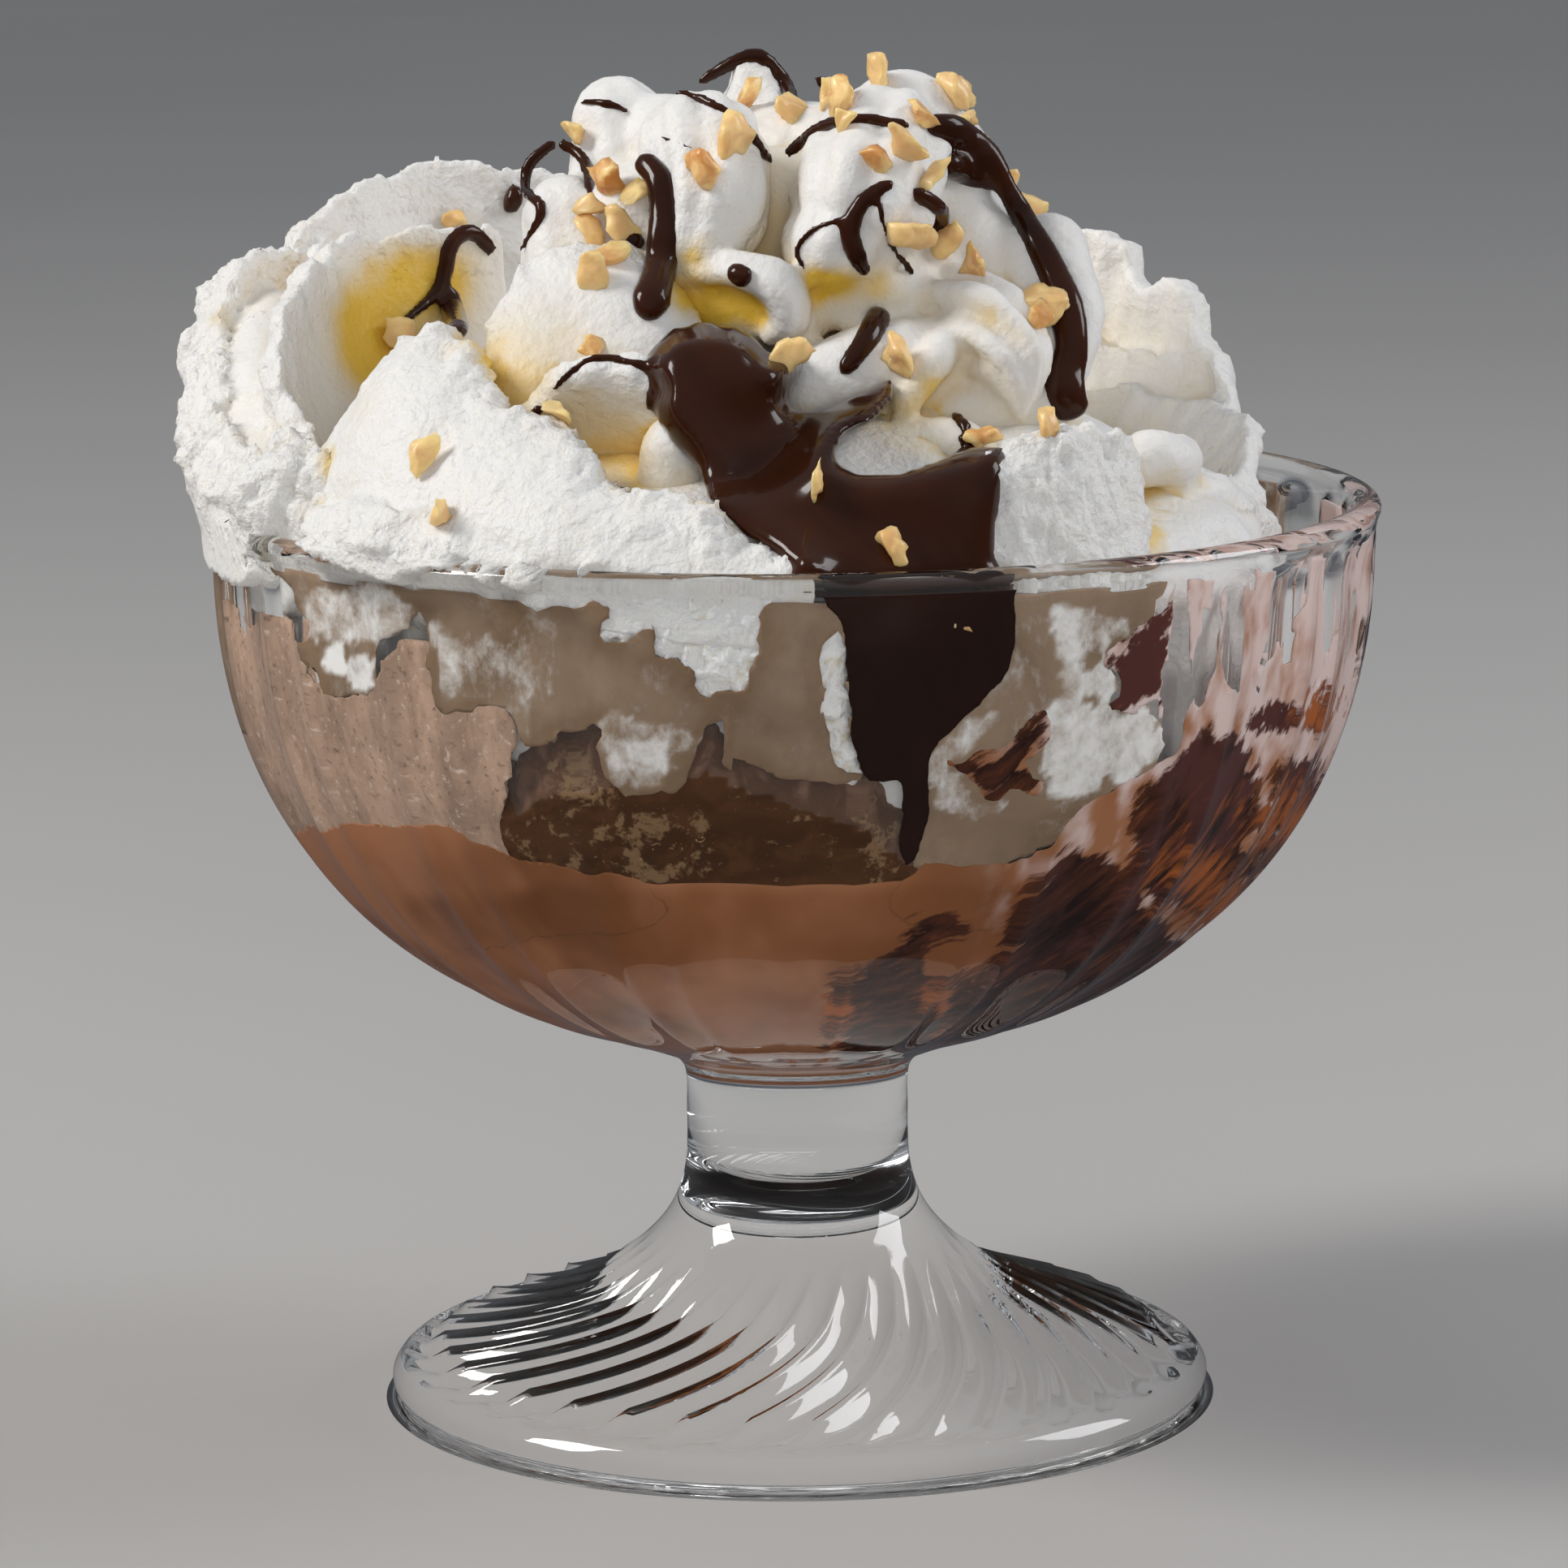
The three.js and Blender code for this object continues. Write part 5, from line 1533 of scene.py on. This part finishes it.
DRIZZLES = [  # places seen from the front, and the widths along them
    ([(-21.5, 119.5), (-24, 117.5), (-24.5, 115), (-23, 113), (-25.2, 109)], [1.2, 1.4, 1.2, 1.3, 0.9]),
    ([(-21.5, 119.5), (-19, 117.5), (-18.5, 112.5)], [1.3, 1.3, 0.8]),
    ([(-14, 118), (-12, 115.6), (-11.6, 112), (-12, 108), (-13, 104.5), (-13.5, 102.6)],
     [2.2, 3, 3.2, 3.4, 3.6, 1.6]),
    ([(-16.6, 112), (-14, 109.3)], [1.8, 2.6]),
    ([(-27.5, 109), (-29.5, 111), (-31.5, 110), (-33, 105.5), (-38.5, 101)], [1.5, 1.9, 1.9, 1.6, 0.7]),
    ([(-32, 106), (-31, 101.5)], [2, 2.6]),
    ([(-19.6, 123), (-17, 122.9), (-14.5, 122)], [0.8, 1.1, 0.7]),
    ([(-11, 124), (-8, 123.2), (-5, 121.3), (-3, 119), (-1.5, 117)], [0.7, 1.2, 1.3, 1.4, 1]),
    ([(-12.5, 120), (-8.5, 118.5)], [0.5, 0.6]),
    ([(-5.9, 107.5), (-4.8, 106.9), (-3.6, 106.2)], [1.6, 2.3, 2.2]),
    ([(-22.5, 96), (-20, 98.3), (-18, 99.2), (-15, 98.8), (-12.8, 97.6), (-13.4, 94)],
     [0.8, 0.9, 1, 1.1, 1.4, 1.3]),
    ([(-0.5, 117.8), (3, 120.5), (7, 121.2), (11.5, 120.5)], [1.2, 1.5, 1.4, 1.2]),
    ([(12.6, 120.8), (15.4, 119.8), (18.2, 117.4), (20.2, 114.6), (22, 111.4), (24, 107.6), (25.6, 103.6),
     (26.2, 99.6), (25.4, 96.4), (26.4, 93)], [2, 3.4, 3.6, 2.2, 2.4, 3.2, 3.4, 3, 4.2, 3.4]),
    ([(14.4, 117.2), (17.2, 116), (19.4, 115)], [2, 2.8, 1.8]),
    ([(10, 115.6), (7, 113.8), (5.6, 111), (6.2, 108.6), (7.2, 106.6)], [1.2, 1.7, 2, 2, 1.2]),
    ([(5.4, 112), (2.2, 111), (0.6, 109), (1.6, 107)], [0.9, 0.9, 0.9, 0.7]),
    ([(8.3, 114), (9.2, 110), (11.6, 106.6)], [0.9, 0.8, 1]),
    ([(11.2, 114.8), (13.8, 112.8), (13.8, 111), (12.8, 109.8)], [1.6, 2, 2, 1.4]),
    ([(8.6, 103.6), (7, 100.6), (4.6, 97.4)], [2.5, 2.3, 1.8]),
    ([(15, 93.8), (16.6, 92)], [1.1, 1.8]),
    ([(-24.2, 94.8), (-23.2, 94)], [1.4, 1.5]),
    ([(15.4, 91.4), (17.4, 91)], [1.6, 1.2]),
    ([(-26.5, 114.4), (-24.8, 113.8)], [3.2, 2.6]),
    ([(-8.6, 124.6), (-5, 126.6), (-2.6, 127), (-0.4, 124.6), (0.6, 122)], [1, 1.6, 2, 1.8, 1.2]),
]
FAR_DRIZZLES = [  # places seen from behind
    ([(2, 124), (6, 119), (4, 113), (9, 108), (8, 104)], [1.2, 2, 1.6, 2.2, 1.4]),
    ([(-12, 120), (-16, 114), (-13, 108), (-17, 103)], [1.4, 2.2, 1.6, 1.2]),
    ([(-6, 118), (-3, 112), (-7, 107)], [1, 1.3, 0.8]),
]


def on_cream(tree, eye, places):
    """Distances from an eye at which places are met on the cream. Places that miss it borrow from others."""
    found = []
    for place in places:
        distance = tree.ray_cast(eye, seen_from(eye, place), FAR)[3]
        found.append(np.nan if distance is None else distance)
    found = np.array(found)
    known = ~np.isnan(found)
    return np.interp(np.arange(len(found)), np.flatnonzero(known), found[known])


def drizzle(tree, eye, places, widths, sink=0.28):
    """A string of sauce laid on the cream, as a closed skin: it bridges small hollows."""
    count = int(np.linalg.norm(np.diff(places, axis=0), axis=1).sum() / 0.35) + 5
    share = np.linspace(0, 1, count)
    flat = smooth_line(places, share)
    far = on_cream(tree, eye, flat)
    far = np.minimum(far, np.percentile(far, 30) + 7.0)
    for _ in range(4):
        padded = np.pad(far, 2, mode="edge")
        nearer = np.minimum(padded[1:-3], padded[3:-1])
        far = np.minimum(far, 0.5 * (far + nearer) + 0.15)
        far = np.convolve(np.pad(far, 2, mode="edge"), [0.1, 0.2, 0.4, 0.2, 0.1], mode="valid")
    ways = np.array([seen_from(eye, place) for place in flat])
    wide = np.interp(share * (len(widths) - 1), np.arange(len(widths)), widths) / 2
    along = np.column_stack([share * count * 0.12, share * 0, share * 0])
    wide = wide * (1 + 0.08 * noise(along, int(100 * widths[0])))
    line = np.array(eye) + ways * (far - wide * (1 - 2 * sink) * 0.5)[:, None]
    along = unit(np.gradient(line, axis=0))
    side = unit(np.cross(ways, along))
    up = unit(np.cross(side, along))
    around = np.linspace(0, 2 * math.pi, 14, endpoint=False)
    cap = np.sqrt(np.clip(1 - (1 - np.minimum(share * count / 3.0, 1)) ** 2, 0.02, 1))
    cap = np.minimum(cap, cap[::-1])
    radius = (wide * cap)[:, None, None]
    rings = line[:, None] + radius * (
        np.cos(around)[None, :, None] * side[:, None] + 0.8 * np.sin(around)[None, :, None] * up[:, None]
    )
    return capped_rings(rings)


def neighbour_mean(grid):
    """For each place in a grid of numbers, the mean of the four beside it."""
    padded = np.pad(grid, 1, mode="edge")
    return (padded[:-2, 1:-1] + padded[2:, 1:-1] + padded[1:-1, :-2] + padded[1:-1, 2:]) / 4


def pool(tree, eye, outline, bulges, thick=2.2, step=0.5):
    """Sauce that lies on the cream within an outline, with a thick rounded edge, as a closed skin. bulges are
    places where it stands thicker: x, height, size and how much."""
    corners = np.asarray(outline)
    x = np.arange(corners[:, 0].min() - 1, corners[:, 0].max() + 1, step)
    z = np.arange(corners[:, 1].min() - 1, corners[:, 1].max() + 1, step)
    grid_x, grid_z = np.meshgrid(x, z)
    inside = inside_loop(grid_x.ravel(), grid_z.ravel(), corners).reshape(grid_x.shape)
    ways = np.array([seen_from(eye, place) for place in zip(grid_x.ravel(), grid_z.ravel())])
    far = np.array([tree.ray_cast(eye, way, FAR)[3] or np.nan for way in ways.tolist()]).reshape(grid_x.shape)
    far = np.where(np.isnan(far), np.nanmedian(far), far)
    near = far.copy()
    for _ in range(160):
        near = np.minimum(far + 0.6, neighbour_mean(near))
    rounded = np.clip(inside / 2.4, 0, 1)
    lift = thick * np.sqrt(1 - (1 - rounded) ** 2)
    for at_x, at_z, size, more in bulges:
        away = ((grid_x - at_x) ** 2 + (grid_z - at_z) ** 2) / size**2
        level = np.percentile(near[(away < 1) & (inside > 0)], 35)
        near = near + smoothstep(1 - away, 0.0, 0.6) * np.minimum(level - near, 0)
        lift = lift + more * np.clip(1 - away, 0, 1) ** 0.75 * np.clip(rounded * 1.5, 0, 1)
    for _ in range(36):
        near = np.minimum(neighbour_mean(near), far + 0.9)
    kept = inside > -0.2
    cells = kept[:-1, :-1] & kept[1:, :-1] & kept[:-1, 1:] & kept[1:, 1:]
    ways = ways.reshape(*grid_x.shape, 3)
    front = np.array(eye) + ways * (near - lift + 0.15)[:, :, None]
    back = np.array(eye) + ways * (np.maximum(near, far) + 1.2)[:, :, None]
    return np.vstack([front.reshape(-1, 3), back.reshape(-1, 3)]), slab_faces(cells)


class AFFOGATO_OT_sauce(bpy.types.Operator):
    """Make the chocolate sauce that is poured over the cream"""

    bl_idname = "affogato.sauce"
    bl_label = "Chocolate sauce"

    def execute(self, context):
        settings = context.scene.affogato_sauce
        tree = BUILT["cream"]
        skins = [pool(tree, EYE, POOL, BULGES)]
        skins += [drizzle(tree, EYE, np.array(places), widths) for places, widths in DRIZZLES]
        skins += [drizzle(tree, BACK_EYE, np.array(places), widths) for places, widths in FAR_DRIZZLES]
        mesh = new_mesh("sauce", *joined_skins(skins))
        drop_loose(mesh)
        mesh = remeshed(mesh, settings.grain)
        relaxed(mesh, 3)
        places = clear_of_glass(mesh_points(mesh) / MM)
        set_points(mesh, places * MM)
        look = sauce_look(settings)
        add_piece("chocolate_sauce_poured", mesh, look, ["chocolate_sauce"])
        BUILT["sauce"] = tree_of([mesh])
        return {"FINISHED"}


# ---- Chopped nuts ------------------------------------------------------------
NUTS = [  # places seen from the front, and the size of each piece from 0, the smallest, to 1
    (-11.5, 125, 0.9), (-7.5, 124.2, 0.8), (-9.6, 124.4, 0.6), (-3.5, 122.5, 0.7), (-5.5, 119.5, 0.9),
    (-19.5, 120.5, 0.6), (-16, 115.5, 0.9), (-14.5, 114, 0.8), (-17.6, 113.2, 0.7), (-15.4, 112, 0.8),
    (-18, 110.4, 0.8), (-18.5, 106.5, 0.6), (-16.8, 108.4, 0.6), (-8.5, 116.5, 0.5), (-18.5, 100, 0.5),
    (-37, 101.2, 0.9), (-33.5, 90.2, 0.7), (-32.5, 84.7, 0.8), (-31.4, 112, 0.4), (5.5, 123, 0.9),
    (8.5, 124.5, 0.8), (3.6, 122.6, 0.6), (15, 123.5, 0.6), (12, 121.5, 0.8), (10.6, 118.6, 0.9),
    (12, 115.8, 0.9), (7.5, 117, 0.6), (5.6, 120.6, 0.3), (10.5, 111, 1), (14, 109.6, 0.6), (17, 107, 0.9),
    (24.5, 104, 0.9), (23, 102.4, 0.7), (10, 99, 0.9), (2.5, 87.6, 0.7), (9, 80.8, 0.7), (24.4, 92, 0.7),
    (17.6, 91, 0.5), (-0.4, 98.6, 0.6), (-22.4, 93.6, 0.4), (0.4, 121.6, 0.5), (15.9, 74.2, 0.7),
]
FAR_NUTS = 26  # pieces scattered over the far side
NUT_LUMPS = 1.8
FULL_TURN = 6.28  # in radians


def nut_tree(chips):
    """Geometry Nodes: chopped pieces on points, each one with its own lumps."""
    tree = bpy.data.node_groups.new("Chopped nuts", "GeometryNodeTree")
    face = tree.interface
    face.new_socket(name="Geometry", in_out="INPUT", socket_type="NodeSocketGeometry")
    kinds = {"Smallest": "Float", "Largest": "Float", "Lumps": "Float", "Seed": "Int", "Look": "Material"}
    for label, kind in kinds.items():
        face.new_socket(name=label, in_out="INPUT", socket_type="NodeSocket" + kind)
    face.new_socket(name="Geometry", in_out="OUTPUT", socket_type="NodeSocketGeometry")
    given, result = add_node(tree, "NodeGroupInput").outputs, add_node(tree, "NodeGroupOutput")

    def chance(kind, low, high, shift):
        node = tree.nodes.new("FunctionNodeRandomValue")
        node.data_type = kind
        bounds = [s for s in node.inputs if s.enabled and s.name in ("Min", "Max")]
        bounds[0].default_value, bounds[1].default_value = low, high
        link(tree, worked_out(tree, "ADD", given["Seed"], shift), node.inputs["Seed"])
        return next(s for s in node.outputs if s.enabled)

    pick = add_node(
        tree, "GeometryNodeCollectionInfo", Collection=chips, Separate_Children=True, Reset_Children=True
    )
    named = add_node(tree, "GeometryNodeInputNamedAttribute", Name="size")
    named.data_type = "FLOAT"
    size = add_node(
        tree, "ShaderNodeMapRange",
        Value=named.outputs["Attribute"], To_Min=given["Smallest"], To_Max=given["Largest"],
    )
    place = add_node(
        tree, "GeometryNodeInstanceOnPoints", Points=given["Geometry"], Instance=pick.outputs["Instances"],
        Pick_Instance=True, Rotation=chance("FLOAT_VECTOR", (0.0, 0.0, 0.0), (FULL_TURN,) * 3, 1),
        Scale=size.outputs["Result"],
    )
    tone = add_node(tree, "GeometryNodeStoreNamedAttribute", Geometry=place.outputs["Instances"], Name="tone")
    tone.data_type, tone.domain = "FLOAT", "INSTANCE"
    link(tree, chance("FLOAT", 0.0, 1.0, 2), next(s for s in tone.inputs if s.name == "Value" and s.enabled))
    real = add_node(tree, "GeometryNodeRealizeInstances", Geometry=tone.outputs["Geometry"])
    where = add_node(tree, "GeometryNodeInputPosition").outputs["Position"]
    lumps = add_node(tree, "ShaderNodeTexNoise", Vector=where, Scale=420.0).outputs["Color"]
    centred = worked_out(tree, "SUBTRACT", lumps, (0.5, 0.5, 0.5), kind="ShaderNodeVectorMath")
    scaled = tree.nodes.new("ShaderNodeVectorMath")
    scaled.operation = "SCALE"
    link(tree, centred, scaled.inputs[0])
    link(tree, given["Lumps"], scaled.inputs["Scale"])
    moved = add_node(
        tree, "GeometryNodeSetPosition", Geometry=real.outputs["Geometry"], Offset=scaled.outputs["Vector"]
    )
    dressed = add_node(
        tree, "GeometryNodeSetMaterial", Geometry=moved.outputs["Geometry"], Material=given["Look"]
    )
    link(tree, dressed.outputs["Geometry"], result.inputs["Geometry"])
    return tree


def chip_shapes():
    """A few chopped pieces, one unit in half length: broken corners, softened."""
    shapes = bpy.data.collections.new("chips")
    for index in range(9):
        ways = unit(rng.normal(size=(11, 3)))
        flat = (1.0, rng.uniform(0.7, 0.95), rng.uniform(0.5, 0.75))
        hull = bmesh.new()
        for corner in (ways * rng.uniform(0.75, 1.05, (11, 1)) * flat).tolist():
            hull.verts.new(corner)
        made = bmesh.ops.convex_hull(hull, input=hull.verts)
        inner = [part for part in made["geom_interior"] if isinstance(part, bmesh.types.BMVert)]
        bmesh.ops.delete(hull, geom=inner, context="VERTS")
        bmesh.ops.subdivide_edges(hull, edges=hull.edges, cuts=3, use_grid_fill=True)
        bmesh.ops.triangulate(hull, faces=hull.faces)
        bmesh.ops.recalc_face_normals(hull, faces=hull.faces)
        mesh = bpy.data.meshes.new(f"chip_{index}")
        hull.to_mesh(mesh)
        hull.free()
        relaxed(mesh, 3, 0.4)
        points = mesh_points(mesh)
        lumps = 0.3 * layered_noise(points * 1.8, 2, 160 + index)
        points = points * (1 + lumps + 0.09 * noise(points * 6, index))[:, None]
        set_points(mesh, points)
        shapes.objects.link(bpy.data.objects.new(f"chip_{index}", mesh))
    return shapes


def nut_look(settings):
    look, tree, shader = new_look(
        "Chopped nut", settings.pale, 0.42, Subsurface_Weight=0.45, Subsurface_Scale=0.0022, Coat_Weight=0.15
    )
    shader.inputs["Subsurface Radius"].default_value = (1.0, 0.55, 0.25)
    tone = field_value(tree, "tone")
    node = add_grain(tree, Patch_Scale=420.0, Grain_Scale=1800.0, Edge=0.52, Softness=0.14)
    body = mix_colours(tree, stepped(tree, tone, 0.4, 1.0), settings.pale, settings.roasted)
    edge = mix_colours(tree, node.outputs["Mask"], body, toned(settings.pale, 1.25))
    link(tree, edge, shader.inputs["Base Color"])
    add_relief(tree, shader, node.outputs["Height"], 0.25, 0.2)
    return look


class AFFOGATO_OT_nuts(bpy.types.Operator):
    """Scatter the chopped nuts"""

    bl_idname = "affogato.nuts"
    bl_label = "Chopped nuts"

    def execute(self, context):
        settings = context.scene.affogato_nuts
        trees = [BUILT["cream"], BUILT["sauce"], BUILT["run"]]
        places, sizes = [], []

        def drop(eye, place, size):
            way = seen_from(eye, place)
            hits = [tree.ray_cast(eye, way, FAR) for tree in trees]
            hits = [hit for hit in hits if hit[0] is not None]
            if not hits:
                return
            point, normal, _, _ = min(hits, key=lambda hit: hit[3])
            half = (settings.smallest + (settings.largest - settings.smallest) * size) / MM
            proud = 0.3 if point.z > BROW else -0.5
            places.append(point + normal * half * proud)
            sizes.append(size)

        for x, z, size in NUTS:
            drop(EYE, (x, z), size)
        for x, z, size in rng.uniform((-22, 101, 0), (24, 123, 1), (FAR_NUTS, 3)).tolist():
            drop(BACK_EYE, (x, z), size)
        points = new_mesh("nut_places", [tuple(place) for place in places], [])
        add_field(points, "size", sizes)
        holder = bpy.data.objects.new("nuts", points)
        context.scene.collection.objects.link(holder)
        shapes = chip_shapes()
        group = nut_tree(shapes)
        change = holder.modifiers.new("Chopped nuts", "NODES")
        change.node_group = group
        inputs = {item.name: item.identifier for item in group.interface.items_tree if item.in_out == "INPUT"}
        look = nut_look(settings)
        change[inputs["Smallest"]] = settings.smallest
        change[inputs["Largest"]] = settings.largest
        change[inputs["Lumps"]] = NUT_LUMPS * MM
        change[inputs["Seed"]] = settings.seed
        change[inputs["Look"]] = look
        seen = holder.evaluated_get(context.evaluated_depsgraph_get())
        mesh = bpy.data.meshes.new_from_object(seen)
        bpy.data.objects.remove(holder)
        for chip in list(shapes.objects):
            bpy.data.objects.remove(chip)
        bpy.data.collections.remove(shapes)
        add_piece("chopped_nuts", mesh, look)
        return {"FINISHED"}


# ---- Stage -------------------------------------------------------------------
LENS = 153.46  # focal length in mm, on a sensor 36 mm wide
LOOKS_DOWN = 9.97  # in degrees
ROLL = -0.009  # in radians
FLOOR_RADIUS = 8000
FLOOR_DEPTH = 3.0


def add_lamp(name, place, size, power, tint=(1.0, 1.0, 1.0), aim=(0, 0, 75), shines=True):
    data = bpy.data.lights.new(name, "AREA")
    data.shape = "RECTANGLE"
    data.size, data.size_y = size
    data.energy = power
    data.color = tint
    lamp = bpy.data.objects.new(name, data)
    lamp.location = Vector(place)
    way = Vector(aim) * MM - lamp.location
    lamp.rotation_euler = way.to_track_quat("-Z", "Y").to_euler()
    lamp.visible_glossy = shines
    bpy.context.scene.collection.objects.link(lamp)


class AFFOGATO_OT_stage(bpy.types.Operator):
    """Make the floor, the lamps and the camera"""

    bl_idname = "affogato.stage"
    bl_label = "Stage"

    def execute(self, context):
        scene = context.scene
        around = np.linspace(0, 2 * math.pi, 96, endpoint=False)
        edge = [[30.0, -FLOOR_DEPTH], [FLOOR_RADIUS, -FLOOR_DEPTH], [FLOOR_RADIUS, 0.0], [30.0, 0.0]]
        mesh = new_mesh("floor", *capped_rings(turned(edge, around)))
        turn_outwards(mesh)
        look = food_look(
            "Pale floor", (0.47, 0.458, 0.445), (0.44, 0.43, 0.417), 0.6,
            dict(Patch_Scale=3.0, Grain_Scale=60.0, Edge=0.5, Softness=0.4), relief=(0.02, 0.1),
        )
        mesh.materials.append(look)
        floor = bpy.data.objects.new("floor", mesh)
        floor.visible_glossy = False
        scene.collection.objects.link(floor)
        add_lamp("key", (-0.78, -0.12, 0.72), (0.3, 0.4), 7.4, (1.0, 0.975, 0.94))
        add_lamp("second", (0.85, 0.1, 0.6), (0.4, 0.5), 4.3, (0.98, 0.98, 1.0))
        add_lamp("front", (0.1, -1.2, 0.3), (0.6, 0.5), 3.8, (1.0, 0.99, 0.98), shines=False)
        world = bpy.data.worlds.new("Studio")
        world.use_nodes = True
        nodes = world.node_tree
        air = nodes.nodes["Background"]
        air.inputs["Strength"].default_value = 0.36
        way = nodes.nodes.new("ShaderNodeTexCoord")
        parts = nodes.nodes.new("ShaderNodeSeparateXYZ")
        link(nodes, way.outputs["Generated"], parts.inputs["Vector"])
        high = stepped(nodes, parts.outputs["Z"], 0.0, 0.6)
        link(nodes, mix_colours(nodes, high, (0.21, 0.22, 0.25), (0.86, 0.90, 0.96)), air.inputs["Color"])
        scene.world = world
        scene.view_settings.view_transform = "Standard"
        camera = bpy.data.objects.new("camera", bpy.data.cameras.new("camera"))
        camera.data.sensor_width = 36.0
        camera.data.lens = LENS
        camera.data.clip_start = 0.05
        camera.data.clip_end = 50.0
        tilt = Matrix.Rotation(math.radians(90 - LOOKS_DOWN), 4, "X") @ Matrix.Rotation(ROLL, 4, "Z")
        camera.matrix_world = Matrix.Translation(EYE * MM) @ tilt
        scene.collection.objects.link(camera)
        scene.camera = camera
        return {"FINISHED"}


# ---- Panel and main ----------------------------------------------------------
OPERATORS = [
    AFFOGATO_OT_stage,
    AFFOGATO_OT_glass,
    AFFOGATO_OT_coffee,
    AFFOGATO_OT_ice_cream,
    AFFOGATO_OT_on_glass,
    AFFOGATO_OT_cream,
    AFFOGATO_OT_sauce,
    AFFOGATO_OT_nuts,
]


class AFFOGATO_PT_panel(bpy.types.Panel):
    """Lists the pieces of the affogato"""

    bl_label = "Affogato"
    bl_idname = "AFFOGATO_PT_panel"
    bl_space_type = "VIEW_3D"
    bl_region_type = "UI"
    bl_category = "Affogato"

    def draw(self, context):
        for operator in OPERATORS:
            self.layout.operator(operator.bl_idname)
        for name, group in GROUPS.items():
            settings = getattr(context.scene, name)
            for label in group.__annotations__:
                self.layout.prop(settings, label)


def register():
    for name, group in GROUPS.items():
        bpy.utils.register_class(group)
        setattr(bpy.types.Scene, name, bpy.props.PointerProperty(type=group))
    for operator in OPERATORS:
        bpy.utils.register_class(operator)
    bpy.utils.register_class(AFFOGATO_PT_panel)


def unregister():
    bpy.utils.unregister_class(AFFOGATO_PT_panel)
    for operator in reversed(OPERATORS):
        bpy.utils.unregister_class(operator)
    for name, group in GROUPS.items():
        delattr(bpy.types.Scene, name)
        bpy.utils.unregister_class(group)


def main():
    register()
    bpy.ops.affogato.stage()
    bpy.ops.affogato.glass()
    bpy.ops.affogato.coffee()
    bpy.ops.affogato.ice_cream()
    bpy.ops.affogato.on_glass()
    bpy.ops.affogato.cream()
    bpy.ops.affogato.sauce()
    bpy.ops.affogato.nuts()


if __name__ == "__main__":
    main()
